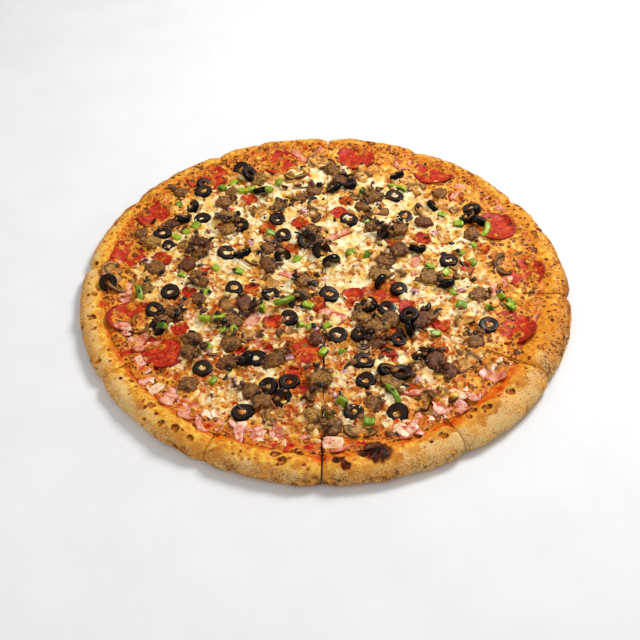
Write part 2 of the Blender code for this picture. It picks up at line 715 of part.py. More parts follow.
def loose_toppings(taken, fused_slices, surface):
    """Every topping that is set in the cheese, as (object, x, y, reach)."""
    rng = random.Random(16)
    loose = []
    for x, y, lean in OLIVES:
        outer = OLIVE_RADIUS * rng.uniform(0.93, 1.07)
        half = rng.uniform(*OLIVE_HALF_THICKNESS)
        tilt = [rng.uniform(*span) for span in OLIVE_TILTS][lean]
        turn = rng.uniform(0.0, 360.0)
        spot = nudge(x, y, outer, taken)
        if spot:
            ring = leaning_olive(outer, half) if lean else flat_olive(outer, half)
            ring = stand(ring, *spot, outer, OLIVE_LIFTS[lean], turn, tilt)
            add_fused(loose, ring, *spot, outer, surface)
    for x, y in SAUSAGE:
        radius = SAUSAGE_RADIUS * rng.uniform(0.86, 1.18)
        chunk = lump(radius, rng)
        turn = rng.uniform(0.0, 360.0)
        spot = nudge(x, y, radius, taken)
        if spot:
            chunk = stand(chunk, *spot, radius, SAUSAGE_LIFT, turn)
            add_fused(loose, chunk, *spot, radius, surface)
    for x, y in PEPPER_DICE[::DICE_STEP]:
        size = DICE_SIZE * rng.uniform(0.8, 1.15)
        dice = block(size, 0.8 * size, DICE_HEIGHT, rng)
        turn = rng.uniform(0.0, 360.0)
        tilt = rng.uniform(-DICE_TILT, DICE_TILT)
        reach = 0.66 * size
        spot = nudge(x, y, reach, taken)
        if spot:
            add_fused(loose, stand(dice, *spot, reach, DICE_LIFT, turn, tilt), *spot, size, surface)
    for x, y, turn, length in PEPPER_STRIPS:
        strip = block(length, STRIP_WIDTH, STRIP_HEIGHT, rng)
        reach = 0.5 * length
        spot = nudge(x, y, reach, taken)
        if spot:
            add_fused(loose, stand(strip, *spot, reach, STRIP_LIFT, turn), *spot, reach, surface)
    for make, reach, places in fused_slices:
        for x, y, turn in places:
            spot = nudge(x, y, reach, taken)
            piece = make(rng)
            if spot:
                piece = stand(piece, *spot, reach, SET_SLICE_LIFT, turn, SET_SLICE_TILT)
                add_fused(loose, piece, *spot, reach, surface)
    return loose


def combine(target, operation, operand, solver="EXACT"):
    """Applies one Boolean with an object or a collection."""
    modifier = target.modifiers.new(operation.lower(), "BOOLEAN")
    modifier.operation = operation
    modifier.solver = solver
    if isinstance(operand, bpy.types.Collection):
        modifier.operand_type = "COLLECTION"
        modifier.collection = operand
    else:
        modifier.object = operand
    graph = bpy.context.evaluated_depsgraph_get()
    mesh = bpy.data.meshes.new_from_object(target.evaluated_get(graph))
    target.modifiers.clear()
    target.data = mesh


def largest_body(bm):
    """Drops loose scraps and fills sealed hollows: the body with the most points is kept."""
    seen = set()
    bodies = []
    for start in bm.verts:
        if start in seen:
            continue
        body = []
        waiting = [start]
        seen.add(start)
        while waiting:
            vert = waiting.pop()
            body.append(vert)
            for edge in vert.link_edges:
                other = edge.other_vert(vert)
                if other not in seen:
                    seen.add(other)
                    waiting.append(other)
        bodies.append(body)
    bodies.sort(key=len)
    bmesh.ops.delete(bm, geom=[vert for body in bodies[:-1] for vert in body], context="VERTS")


def drop_flaps(bm):
    """Removes pairs of triangles that lie back to back on the same three points."""
    flaps = set()
    for edge in bm.edges:
        if len(edge.link_faces) > 2:
            for one, other in itertools.combinations(edge.link_faces, 2):
                if set(one.verts) == set(other.verts):
                    flaps |= {one, other}
    bmesh.ops.delete(bm, geom=list(flaps), context="FACES")


def tidy_mesh(mesh):
    """Leaves one body, with the nearly flat stretches of its top in fewer triangles."""
    for angle in FLAT_ANGLES:
        bm = bmesh.new()
        bm.from_mesh(mesh)
        top = [edge for edge in bm.edges if all(face.normal.z > 0.3 for face in edge.link_faces)]
        bmesh.ops.dissolve_limit(bm, angle_limit=math.radians(angle), verts=bm.verts, edges=top)
        bmesh.ops.triangulate(bm, faces=bm.faces)
        drop_flaps(bm)
        largest_body(bm)
        if all(len(edge.link_faces) == 2 for edge in bm.edges):
            break
    bm.to_mesh(mesh)
    bm.free()


def cut_to_slice(target, first, last, solver="EXACT"):
    knife = new_object("wedge", wedge(first, last), target.data.materials[0])
    combine(target, "INTERSECT", knife, solver)
    bpy.data.objects.remove(knife)


def set_in_cheese(layer, loose, first, last):
    """Joins to a layer the toppings that reach into its slice."""
    near = bpy.data.collections.new("near")
    bpy.context.scene.collection.children.link(near)
    for made, x, y, reach in loose:
        radius = math.hypot(x, y)
        across = (bearing_of(x, y) - first) % 360.0
        spare = math.degrees((reach + 2.0) / max(radius, reach + 2.0))
        if across < last - first + spare or across > 360.0 - spare:
            near.objects.link(made.copy())
    combine(layer, "UNION", near, "MANIFOLD")
    for made in list(near.objects):
        bpy.data.objects.remove(made)
    bpy.data.collections.remove(near)


def tree_of(objects):
    """A search tree over several objects' world triangles, in metres."""
    points = []
    faces = []
    for made in objects:
        start = len(points)
        points += [made.matrix_world @ vert.co for vert in made.data.vertices]
        faces += [[start + index for index in face.vertices] for face in made.data.polygons]
    return BVHTree.FromPolygons(points, faces)


def rest_height(piece, ground, x, y, reach):
    """How far the piece goes up or down to lie on what is under it, in metres."""
    under = tree_of([piece])
    steps = int(reach / REST_STEP)
    most = -1.0
    for row in range(-steps, steps + 1):
        for column in range(-steps, steps + 1):
            spot_x = (x + REST_STEP * column) * MM
            spot_y = (y + REST_STEP * row) * MM
            bottom = under.ray_cast(Vector((spot_x, spot_y, -1.0)), Vector((0.0, 0.0, 1.0)))[0]
            top = ground.ray_cast(Vector((spot_x, spot_y, 1.0)), Vector((0.0, 0.0, -1.0)))[0]
            if bottom and top:
                most = max(most, top.z - bottom.z)
    return most + PIECE_GAP * MM


def lay_piece(name, bm, place, reach, surface, ground):
    """A separate piece, resting on the cheese with its origin in its middle."""
    x, y, turn = place
    piece = new_object(name, bm, surface)
    slope = ground_turn(x, y, 0.7 * reach)
    spin = Matrix.Rotation(math.radians(turn), 4, "Z")
    piece.matrix_world = Matrix.Translation((x * MM, y * MM, 0.0)) @ slope @ spin
    bpy.context.view_layer.update()
    piece.location.z += rest_height(piece, ground, x, y, reach)
    return piece


def build():
    crust_surface = material("baked dough", *DOUGH)
    cheese_surface = material("cheese and sauce", *CHEESE)
    pepperoni_surface = material("pepperoni", *PEPPERONI_MEAT)
    ham_surface = material("ham", *HAM_MEAT)
    mushroom_surface = material("mushroom", *MUSHROOM_FLESH)

    taken = []
    ham_reach = HAM_LENGTH / 2.0
    mushroom_reach = 1.1 * MUSHROOM_CAP_RADIUS
    kinds = (
        ("pepperoni", pepperoni_slice, pepperoni_slice, PEPPERONI, PEPPERONI_RADIUS * 1.05,
         MOST_PEPPERONI_NODES, pepperoni_surface),
        ("ham", ham_slice, plain_ham_slice, HAM, ham_reach, MOST_HAM_NODES, ham_surface),
        ("mushroom", mushroom_slice, plain_mushroom_slice, MUSHROOMS, mushroom_reach,
         MOST_MUSHROOM_NODES, mushroom_surface),
    )
    chosen = []
    fused_slices = []
    for name, make, make_fused, places, reach, most, surface in kinds:
        own, fused = choose_pieces(places, reach, most, taken)
        chosen.append((name, make, own, reach, surface))
        fused_slices.append((make_fused, reach, fused))
    loose = loose_toppings(taken, fused_slices, cheese_surface)

    rng = random.Random(4)
    layers = []
    crusts = []
    for number, (first, last) in enumerate(slice_bounds(), start=1):
        crust = new_object(f"slice_{number:02d}_crust", wide_crust(first, last), crust_surface)
        cut_to_slice(crust, first, last)
        layer = new_object(
            f"slice_{number:02d}_topping", wide_layer(first, last, rng), cheese_surface
        )
        set_in_cheese(layer, loose, first, last)
        cut_to_slice(layer, first, last, "MANIFOLD")
        tidy_mesh(layer.data)
        crusts.append(crust)
        layers.append(layer)
    for made, _, _, _ in loose:
        bpy.data.objects.remove(made)

    ground = tree_of(crusts + layers)
    for name, make, own, reach, surface in chosen:
        for number, place in enumerate(own, start=1):
            lay_piece(f"{name}_{number:02d}", make(rng), place, reach, surface, ground)


for leftover in list(bpy.data.objects):
    bpy.data.objects.remove(leftover)
build()
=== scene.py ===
import math
import random

import bmesh
import bpy
import numpy as np
from mathutils import Euler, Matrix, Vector, noise


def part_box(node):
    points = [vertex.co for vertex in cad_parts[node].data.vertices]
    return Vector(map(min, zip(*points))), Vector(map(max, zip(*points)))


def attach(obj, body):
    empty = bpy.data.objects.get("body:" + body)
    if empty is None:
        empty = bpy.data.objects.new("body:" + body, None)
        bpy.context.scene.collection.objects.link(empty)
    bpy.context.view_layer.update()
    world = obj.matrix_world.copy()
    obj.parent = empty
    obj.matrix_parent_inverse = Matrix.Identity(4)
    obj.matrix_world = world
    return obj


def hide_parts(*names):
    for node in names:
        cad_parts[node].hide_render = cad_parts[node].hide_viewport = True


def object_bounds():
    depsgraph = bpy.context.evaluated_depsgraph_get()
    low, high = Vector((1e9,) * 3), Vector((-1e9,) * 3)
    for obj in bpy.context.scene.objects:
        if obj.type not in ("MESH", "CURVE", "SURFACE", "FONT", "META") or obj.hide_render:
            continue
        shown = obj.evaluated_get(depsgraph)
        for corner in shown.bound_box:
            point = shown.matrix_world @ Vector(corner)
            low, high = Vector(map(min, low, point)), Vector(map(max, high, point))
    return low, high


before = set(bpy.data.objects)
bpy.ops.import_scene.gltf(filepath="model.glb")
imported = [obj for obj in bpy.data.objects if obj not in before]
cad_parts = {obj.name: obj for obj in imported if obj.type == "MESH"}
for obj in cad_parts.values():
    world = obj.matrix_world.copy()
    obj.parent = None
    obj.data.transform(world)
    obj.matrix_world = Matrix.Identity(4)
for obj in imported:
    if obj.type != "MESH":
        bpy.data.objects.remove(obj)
CAD_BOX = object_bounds()

# The looks of a loaded pizza in twelve slices: dough, cheese and every topping as detailed
# meshes. Lengths are in millimetres and bearings in degrees from X until a mesh is made.
MM = 0.001
ROOT = "root"

# The solids' own sizes
OUTER_RADIUS = 203.0
BASE_THICKNESS = 6.0
CHEESE_THICKNESS = 3.2
CHEESE_EDGE_THICKNESS = 1.1
LAYER_GAP = 0.4
CUT_GAP = 0.7
FRONT_CUT_GAP = 1.2
TIP_RADIUS = 2.6
CUT_BEARINGS = (32.0, 64.0, 89.0, 120.0, 148.0, 175.0)
OPEN_CUT = 269.0
CORNER_LENGTH = 6.0
CORNER_DEPTH = 2.6
CORNER_DROP = 1.6
RIM_FORM = (
    (0.0, 168.0, 180.0, 190.0, 13.5),
    (30.0, 176.0, 187.0, 194.0, 12.0),
    (60.0, 180.0, 190.5, 195.0, 11.5),
    (90.0, 180.0, 190.5, 195.0, 11.5),
    (120.0, 178.0, 189.5, 194.5, 11.5),
    (150.0, 172.0, 186.0, 193.0, 12.5),
    (180.0, 166.0, 181.0, 191.0, 14.0),
    (210.0, 163.0, 179.0, 190.0, 16.0),
    (240.0, 164.0, 180.0, 190.5, 17.0),
    (270.0, 164.0, 180.0, 190.5, 17.5),
    (300.0, 158.0, 173.0, 188.0, 18.0),
    (330.0, 155.0, 170.0, 187.0, 17.0),
)
BUBBLES = (
    (37, -183, 13, 3.5),
    (12, -190, 10, 2.0),
    (-113, -158, 14, 2.5),
    (-27, -186, 11, 2.0),
    (126, -139, 13, 2.5),
    (-190, -38, 12, 2.0),
    (168, -96, 14, 2.0),
)

BLISTER_TRIES = 8200
CRUMB_TRIES = 1650
SHRED_COUNT = 50
PEPPER_THICKNESS = 4.4

# A slice's usual length to the cheese's edge, and how much of the cuts' width is left in the cheese
CHEESE_REACH = 186.0
CHEESE_CLOSING = 0.3

# How fine the meshes are
CELL = 0.5
HALF = 206.0
CHEESE_STEP = 0.75
COARSE_STEP = 6.0
INNER_STEP = 9.0
# The layer's underside has one row for this many above
STEPS_BELOW = 6
CRUST_STEP = 1.15

# Where the toppings lie. An olive's third value is its lean: 0 flat, 1 leaning, 2 on edge,
# 3 shrunken and dark.
OLIVES = (
    (-110, 126, 1), (-110, 115, 0), (-118, 93, 1), (-125, 77, 1), (-108, 78, 0), (-141, 57, 0),
    (-134, 42, 3), (-74, 69, 0), (-84, 33, 0), (-77, 148, 1), (-69, 138, 1), (-57, 117, 1),
    (8, 120, 1), (23, 124, 3), (66, 139, 1), (63, 109, 0), (70, 80, 0), (21, 76, 0), (-42, 76, 0),
    (-36, 55, 0), (-16, 45, 1), (-3, 33, 1), (5, 20, 2), (-36, 27, 2), (-70, 32, 1), (50, 55, 3),
    (97, 94, 1), (130, 89, 1), (125, 78, 1), (134, 73, 1), (104, 22, 0), (79, 39, 1),
    (45, -6, 2), (60, -12, 0), (3, -18, 0), (-45, -17, 0), (-75, -10, 0), (-22, -27, 1),
    (-29, -45, 0), (-127, -15, 0), (-137, -37, 0), (-94, -98, 0), (-132, -57, 1),
    (-178, -8, 1), (99, -6, 1), (129, -53, 0), (49, -35, 0), (35, -31, 1), (9, -64, 0),
    (27, -64, 0), (57, -69, 0), (66, -47, 0), (66, -58, 2), (73, -83, 1), (29, -91, 0),
    (30, -111, 0), (46, -101, 1), (57, -105, 0), (-54, -88, 0), (-62, -90, 1), (-28, -112, 0),
    (-32, -130, 1), (-43, -117, 1), (-61, -141, 0), (20, -141, 0), (52, -142, 1),
)
SAUSAGE = (
    (-159, 58), (-148, 46), (-119, 43), (-107, 45), (-107, 32), (-133, 71), (-130, 115),
    (-90, 100), (-85, 116), (-86, 80), (-85, 63), (-61, 133), (7, 147), (15, 131), (43, 107),
    (33, 94), (41, 67), (54, 60), (-22, 106), (-9, 116), (-40, 95), (-12, 59), (-8, 46),
    (-48, 38), (-48, 18), (51, 22), (63, 36), (87, 72), (103, 111), (127, 56), (88, 0),
    (45, 5), (-147, -9), (-122, -38), (-127, -48), (-105, -68), (-105, -81), (-75, -92),
    (-74, -72), (-75, -47), (-103, -23), (-106, 3), (-116, 18), (-142, 13), (-65, -30),
    (-17, -3), (-19, -17), (29, -44), (52, -48), (41, -57), (38, -74), (-7, -68), (-40, -91),
    (124, -19), (117, -71), (94, -102), (82, -42), (75, -50), (84, -92), (-56, -121),
    (-47, -131), (-4, -112), (34, -134), (50, -113), (5, -155), (-10, -144), (-103, -114),
    (64, 59), (-102, -5),
)
PEPPER_DICE = (
    (-93, 121), (-83, 127), (-41, 128), (-50, 111), (-130, 97), (-113, 68), (-121, 61),
    (-128, 53), (-47, 57), (-24, 25), (22, 34), (35, 30), (36, 74), (35, 112), (103, 83),
    (117, 71), (127, 42), (115, 33), (124, 20), (100, 8), (88, 15), (-91, 14), (-72, 10),
    (-119, 5), (-97, -15), (-82, -58), (-72, -58), (-128, -60), (-92, -75), (-85, -110),
    (-51, -36), (-14, -32), (-20, -53), (-11, -55), (1, -53), (13, -81), (-2, -83), (143, -20),
    (150, -27), (110, -30), (104, -16), (132, -34), (149, -33), (86, -62), (12, -132), (2, -145),
    (31, -150),
)
# The strips' third value is their bearing, and the last is their length
PEPPER_STRIPS = (
    (-71, 117, 20, 18), (66, 121, 150, 19), (139, 60, 70, 17), (-152, -19, 100, 17),
    (-90, -46, 8, 21), (-33, -30, 35, 19), (50, -125, 120, 18),
)
ONIONS = (
    (-89, -83), (-15, -46), (-28, -90), (8, -124), (-9, -58), (-64, 46), (28, 18), (74, -14),
    (96, 58), (-100, 60), (-150, 20), (14, -100), (70, -110), (-70, -108), (112, -12), (-18, 88),
)
# Slices of meat and mushroom: place, bearing, and for pepperoni how much cheese hides
PEPPERONI = (
    (-110, 140, 0, 0.52), (-150, 85, 40, 0.5), (-170, 28, 0, 0.52), (-42, 160, 70, 0.58),
    (29, 168, 0, 0.3), (101, 146, 20, 0.42), (147, 69, 0, 0.25), (164, 10, 50, 0.62),
    (152, -57, 0, 0.6), (-156, -43, 0, 0.62), (-125, -78, 30, 0.36), (47, -16, 0, 0.6),
    (48, -68, 80, 0.58), (-19, -80, 100, 0.52), (-18, -112, 90, 0.55),
)
PEPPERONI_BITS = (
    (22, -17), (92, -53), (-116, -57), (-101, 10), (60, 41), (-22, 72), (13, 84), (-111, -17),
    (-50, 65), (-30, 38), (84, 52), (20, 103), (-68, 105), (118, 108), (-62, -12), (-8, -28),
    (66, -32), (118, 14), (-138, 26), (-88, -38), (88, -78), (-42, -48), (66, -120), (136, 40),
)
HAM = (
    (-152, 108, 30), (-20, 171, 10), (73, 162, 160), (120, 117, 140), (152, 101, 110),
    (-177, 12, 90), (-161, -14, 60), (-140, -69, 120), (-49, -72, 20),
    (131, -105, 40), (-102, -140, 140), (-85, -152, 170), (-40, -158, 10), (10, -170, 0),
    (55, -157, 25), (78, -140, 30), (64, -117, 100), (93, -133, 45),
    (-113, -127, 60), (-60, -160, 20), (5, -41, 30), (-8, 184, 80),
)
HAM_STRIPS = ((145, -5, 5), (-28, 8, 80), (-62, -52, 30), (76, 20, 120), (12, 58, 40))
MUSHROOMS = (
    (-7, 164, 60), (33, 140, 20), (30, 116, 80), (45, 89, 110), (-30, 130, 200), (-58, 88, 150),
    (-11, 85, 20), (-59, 28, 40), (82, 121, 300), (87, 88, 70), (118, 96, 10), (114, 10, 190),
    (150, 17, 90), (58, 4, 30), (-170, -5, 120), (-178, 10, 60), (-150, -53, 250),
    (-79, -27, 330), (-61, -60, 100), (-30, -64, 20), (-44, -4, 80), (108, -52, 200),
    (112, -91, 40), (126, -94, 150), (75, -129, 60), (87, -127, 10), (24, -157, 10),
    (-6, -159, 200), (-5, -127, 300), (-40, -142, 90), (-26, 144, 10),
)
# Scorched and open blisters of the rim: place, radius, how dark
RIM_BLISTERS = (
    (36, -181, 11, 1.0), (27, -180, 6, 0.9), (8, -188, 4.5, 0.9), (13, -193, 3.5, 0.8),
    (-128, -138, 3.5, 0.6),
    (-119, -155, 3, 0.5), (-108, -161, 3.5, 0.6), (-97, -168, 3, 0.5), (-134, -150, 3, 0.5),
    (-36, -182, 4, 0.7), (-19, -181, 3.5, 0.7), (-31, -189, 4, 0.6), (136, -126, 4, 0.6),
    (117, -141, 3.5, 0.7), (107, -141, 3, 0.6), (103, -148, 3, 0.5), (83, -167, 4, 0.6),
    (65, -165, 3, 0.5), (138, -88, 3.5, 0.8), (188, 64, 3.5, 0.8), (-185, -46, 3, 0.7),
    (-188, -20, 2.5, 0.5), (-193, 20, 2.0, 0.4), (-174, -92, 2.5, 0.4),
)
# The cheese is scorched beside the largest of them
SCORCHED_CHEESE = (34.0, -175.0)
# Where sauce shows: place, half lengths, bearing, strength
SAUCE_PATCHES = (
    (-148, -86, 16, 9, 120, 1.0), (-134, -96, 12, 8, 140, 0.9), (-66, -78, 7, 5, 20, 0.8),
    (-40, -46, 12, 5, 10, 0.9), (-58, -8, 8, 5, 30, 0.7), (-20, 72, 9, 6, 0, 0.8),
    (62, 44, 8, 5, 20, 0.7), (14, 84, 7, 5, 0, 0.7), (-101, 10, 7, 6, 60, 0.7),
    (-116, -57, 9, 5, 20, 0.9), (88, -50, 11, 5, 0, 0.8), (-112, -18, 7, 5, 0, 0.8),
    (160, 34, 12, 8, 60, 0.6), (140, 132, 12, 7, 140, 0.6), (-5, 182, 30, 5, 0, 0.6),
    (-60, 176, 26, 5, 15, 0.6), (-168, 50, 8, 16, 0, 0.5), (74, 158, 14, 7, 160, 0.5),
    (150, -40, 7, 14, 0, 0.6), (154, -72, 10, 9, 60, 0.7), (20, -26, 8, 5, 20, 0.8),
    (70, -150, 16, 6, 25, 0.9), (104, -124, 12, 6, 40, 0.7), (0, -172, 22, 6, 0, 1.0),
    (38, -163, 18, 5, 12, 1.2), (-8, -173, 11, 6, 160, 1.2),
)


def ease(value):
    value = np.clip(value, 0.0, 1.0)
    return value * value * (3.0 - 2.0 * value)


def polar(radius, bearing):
    angle = np.radians(bearing)
    return radius * np.cos(angle), radius * np.sin(angle)


def polar_of(x, y):
    return np.hypot(x, y), np.degrees(np.arctan2(y, x)) % 360.0


def slice_bounds():
    cuts = sorted(CUT_BEARINGS + tuple(bearing + 180.0 for bearing in CUT_BEARINGS))
    return list(zip(cuts, cuts[1:] + [cuts[0] + 360.0]))


def gap_at(cut, closing=1.0):
    return FRONT_CUT_GAP if cut % 360.0 == OPEN_CUT else CUT_GAP * closing


def ripple(bearing, wavelength, seed):
    x, y = polar(OUTER_RADIUS / wavelength, bearing)
    return noise.noise(Vector((x, y, seed)))


def distance_to_cut(radius, bearing):
    turns = [abs((bearing - cut + 90.0) % 180.0 - 90.0) for cut in CUT_BEARINGS]
    return math.radians(min(turns)) * radius


def corner_at(radius, bearing):
    return math.exp(-((distance_to_cut(radius, bearing) / CORNER_LENGTH) ** 2))


def rim_form(bearing):
    """The rim at a bearing: flat middle's end, cheese's end, crest's radius and height."""
    place = (bearing % 360.0) * len(RIM_FORM) / 360.0
    row = int(place) % len(RIM_FORM)
    after = RIM_FORM[(row + 1) % len(RIM_FORM)]
    part = float(ease(place - int(place)))
    flat, edge, crest, height = (
        a + (b - a) * part for a, b in zip(RIM_FORM[row][1:], after[1:])
    )
    edge += 1.8 * ripple(bearing, 14.0, 1.0)
    crest += 1.0 * ripple(bearing, 25.0, 2.0)
    height += 1.6 * ripple(bearing, 22.0, 3.0)
    height -= CORNER_DROP * corner_at(crest, bearing)
    return flat, min(edge, crest - 3.0), crest, height


def outer_radius(bearing):
    wobble = 1.0 * ripple(bearing, 40.0, 4.0) + 0.8 * ripple(bearing, 15.0, 5.0)
    return OUTER_RADIUS - 0.8 + wobble - CORNER_DEPTH * corner_at(OUTER_RADIUS, bearing)


BEARINGS = np.arange(0.0, 360.125, 0.125)
RIM_TABLE = np.array([rim_form(bearing) for bearing in BEARINGS]).T
OUTER_TABLE = np.array([outer_radius(bearing) for bearing in BEARINGS])
SHOULDER_TABLE = np.array([ripple(bearing, 12.0, 6.0) for bearing in BEARINGS])
SIDE_TABLE = np.array([ripple(bearing, 14.0, 7.0) for bearing in BEARINGS])
FOOT_TABLE = np.array([ripple(bearing, 18.0, 8.0) for bearing in BEARINGS])


def looked_up(table, bearing):
    return np.interp(np.mod(bearing, 360.0), BEARINGS, table)


def rim_at(bearing):
    return [looked_up(row, bearing) for row in RIM_TABLE]


def dough_height(radius, bearing):
    flat, edge, crest, height = rim_at(bearing)
    rise = ease((np.maximum(radius, edge) - flat) / (crest - flat))
    slope = np.clip((radius - flat) / (edge - flat), 0.0, 1.0)
    return BASE_THICKNESS + (height - BASE_THICKNESS) * rise * slope


def noise_field(x, y, size, seed, z=None):
    """Smooth noise, from about -1 to 1, in lumps of the given size."""
    depth = np.full(np.shape(x), seed) if z is None else z / size + seed
    columns = [values.ravel().tolist() for values in (x / size, y / size, depth)]
    return np.array([noise.noise(place) for place in zip(*columns)]).reshape(np.shape(x))


def cheese_ground(x, y):
    """The cheese's height before its fine relief; past its edge, the dough's."""
    radius, bearing = polar_of(x, y)
    flat, edge, crest, height = rim_at(bearing)
    out = ease((radius - flat + 12.0) / (edge - flat + 12.0))
    thickness = CHEESE_THICKNESS + (CHEESE_EDGE_THICKNESS - CHEESE_THICKNESS) * out
    lumps = 0.9 * noise_field(x, y, 26.0, 9.0) + 0.5 * noise_field(x, y, 12.0, 10.0)
    over = np.clip((radius - crest) / (OUTER_RADIUS - crest), 0.0, 1.0)
    dough = dough_height(np.minimum(radius, crest), bearing) - 0.5 * height * over * over
    return dough + LAYER_GAP + thickness + lumps * (1.0 - out)


# Fields on a square grid of cells, over the whole pizza
AXIS = np.arange(-HALF + CELL / 2.0, HALF, CELL)
GRID_X, GRID_Y = np.meshgrid(AXIS, AXIS, indexing="ij")
GRID_RADIUS, GRID_BEARING = polar_of(GRID_X, GRID_Y)
WARP_X = 0.9 * noise_field(GRID_X, GRID_Y, 3.5, 21.0)
WARP_Y = 0.9 * noise_field(GRID_X, GRID_Y, 3.5, 22.0)
GROUND = cheese_ground(GRID_X, GRID_Y)
FLAT_END, CHEESE_END, _, _ = rim_at(GRID_BEARING)
INSIDE = 1.0 - 0.6 * ease((GRID_RADIUS - FLAT_END) / (CHEESE_END - FLAT_END))
BOX_MARGIN = 0.1
BOX_LOW, BOX_HIGH = (np.array(corner) / MM for corner in CAD_BOX)
TOP_LIMIT = BOX_HIGH[2] - BOX_MARGIN


def billows(size, seed):
    """Rounded lumps of the given size with creases between them, from 0 to 1."""
    lumps = noise_field(GRID_X + 2.0 * WARP_X, GRID_Y + 2.0 * WARP_Y, size, seed)
    return np.clip(2.4 * np.abs(lumps), 0.0, 1.0)


CURDS = 0.66 * billows(7.5, 23.0) + 0.34 * billows(3.6, 24.0)
POOLS = ease(0.5 + 1.6 * noise_field(GRID_X, GRID_Y, 19.0, 25.0))


def cell_of(values):
    return np.clip(((values + HALF) / CELL).astype(int), 0, len(AXIS) - 1)


def sample(field, x, y):
    """A field's value at points, straight between its cells."""
    u = np.clip((x + HALF) / CELL - 0.5, 0.0, len(AXIS) - 1.001)
    v = np.clip((y + HALF) / CELL - 0.5, 0.0, len(AXIS) - 1.001)
    i, j = u.astype(int), v.astype(int)
    u, v = u - i, v - j
    near = field[i, j] * (1.0 - v) + field[i, j + 1] * v
    far = field[i + 1, j] * (1.0 - v) + field[i + 1, j + 1] * v
    return near * (1.0 - u) + far * u


def blur(field, reach):
    """A field smoothed over about the given distance."""
    half = max(1, round(reach / CELL / 2.0))
    for _ in range(3):
        for axis in (0, 1):
            padded = np.concatenate([np.zeros_like(np.take(field, [0], axis)), field], axis)
            total = np.cumsum(padded, axis)
            count = field.shape[axis]
            low = np.clip(np.arange(count) - half, 0, count)
            high = np.clip(np.arange(count) + half + 1, 0, count)
            field = (np.take(total, high, axis) - np.take(total, low, axis)) / (2 * half + 1)
    return field


def dome(away):
    return ease(1.6 * (1.0 - away))


def ring(away):
    return np.exp(-(((away - 0.68) / 0.2) ** 2))


def splat(field, x, y, reach_x, reach_y, bearing, strength, wander=1.0, shape=dome):
    """Raises a field to strength in an uneven oval, with the given shape from its middle out."""
    reach = max(reach_x, reach_y) + 2.0
    rows = slice(cell_of(np.float64(x - reach)), cell_of(np.float64(x + reach)) + 1)
    columns = slice(cell_of(np.float64(y - reach)), cell_of(np.float64(y + reach)) + 1)
    window = (rows, columns)
    away_x = GRID_X[window] - x + wander * WARP_X[window]
    away_y = GRID_Y[window] - y + wander * WARP_Y[window]
    cosine, sine = math.cos(math.radians(bearing)), math.sin(math.radians(bearing))
    along = (away_x * cosine + away_y * sine) / reach_x
    across = (away_y * cosine - away_x * sine) / reach_y
    value = strength * shape(np.hypot(along, across))
    field[window] = np.maximum(field[window], value)


def browned_share():
    """How baked the cheese is, from 0 in the pale middle to 1 near the back and right rim."""
    bearings = np.arange(0.0, 361.0, 30.0)
    starts = (114, 116, 126, 132, 134, 132, 126, 128, 138, 142, 130, 112, 114)
    start = np.interp(GRID_BEARING, bearings, starts)
    patches = 16.0 * noise_field(GRID_X, GRID_Y, 24.0, 31.0)
    return ease((GRID_RADIUS + patches - start) / 46.0)


def sauce_share():
    """Where the sauce shows through: a band inside the front rim, and loose patches."""
    sauce = np.zeros_like(GROUND)
    for x, y, reach_x, reach_y, bearing, strength in SAUCE_PATCHES:
        splat(sauce, x, y, reach_x, reach_y, bearing, strength, 2.5)
    band = ease(1.5 - np.abs(GRID_RADIUS + 2.5 * WARP_X - CHEESE_END + 4.5) / 5.0)
    front = ease((GRID_BEARING - 196.0) / 24.0) * ease((312.0 - GRID_BEARING) / 24.0)
    gaps = ease(0.75 + 1.6 * noise_field(GRID_X, GRID_Y, 9.0, 33.0))
    sauce = np.maximum(sauce, band * front * gaps)
    mottle = noise_field(GRID_X, GRID_Y, 8.0, 34.0) + 0.5 * noise_field(GRID_X, GRID_Y, 4.0, 35.0)
    return np.maximum(sauce, 0.8 * ease(3.2 * (mottle - 0.42)))


def cheesy_rim(bearing):
    """1 at the back and on the right, where cheese is baked onto the rim as far as its crest."""
    turn = np.mod(bearing + 42.0, 360.0)
    return ease(turn / 18.0) * ease((204.0 - turn) / 20.0)


def scatter_blisters(toast):
    """Browned blisters of the cheese: dark rings, their middles, halos and relief."""
    rng = random.Random(7)
    fields = {name: np.zeros_like(GROUND) for name in ("scorch", "core", "halo", "raised")}
    for _ in range(BLISTER_TRIES):
        x, y = (rng.uniform(-192.0, 192.0) for _ in range(2))
        size = rng.uniform(1.1, 2.2) * rng.uniform(0.8, 1.35)
        chance, shade, turn = rng.random(), rng.uniform(0.45, 1.0), rng.uniform(0.0, 180.0)
        radius, bearing = polar_of(x, y)
        _, edge, crest, _ = rim_at(bearing)
        if radius > edge + 1.0 + (crest + 1.0 - edge) * cheesy_rim(bearing):
            continue
        baked = toast[cell_of(np.float64(x)), cell_of(np.float64(y))]
        if chance > (0.26 + 0.64 * baked) * (0.5 if radius > edge + 1.0 else 1.0):
            continue
        long, short = size + 0.5, 0.8 * size + 0.5
        splat(fields["halo"], x, y, long + 2.2, short + 2.2, turn, 0.45 + 0.5 * baked)
        splat(fields["raised"], x, y, long + 0.9, short + 0.9, turn, 0.5 + 0.3 * size, 0.7, ring)
        burnt = shade * (0.7 + 0.3 * baked)
        if rng.random() < 0.5:
            splat(fields["core"], x, y, long, short, turn, shade, 0.7)
            splat(fields["scorch"], x, y, long + 0.4, short + 0.4, turn, burnt, 0.7, ring)
        else:
            splat(fields["scorch"], x, y, 0.85 * long, 0.8 * short, turn, burnt, 1.0)
    return fields


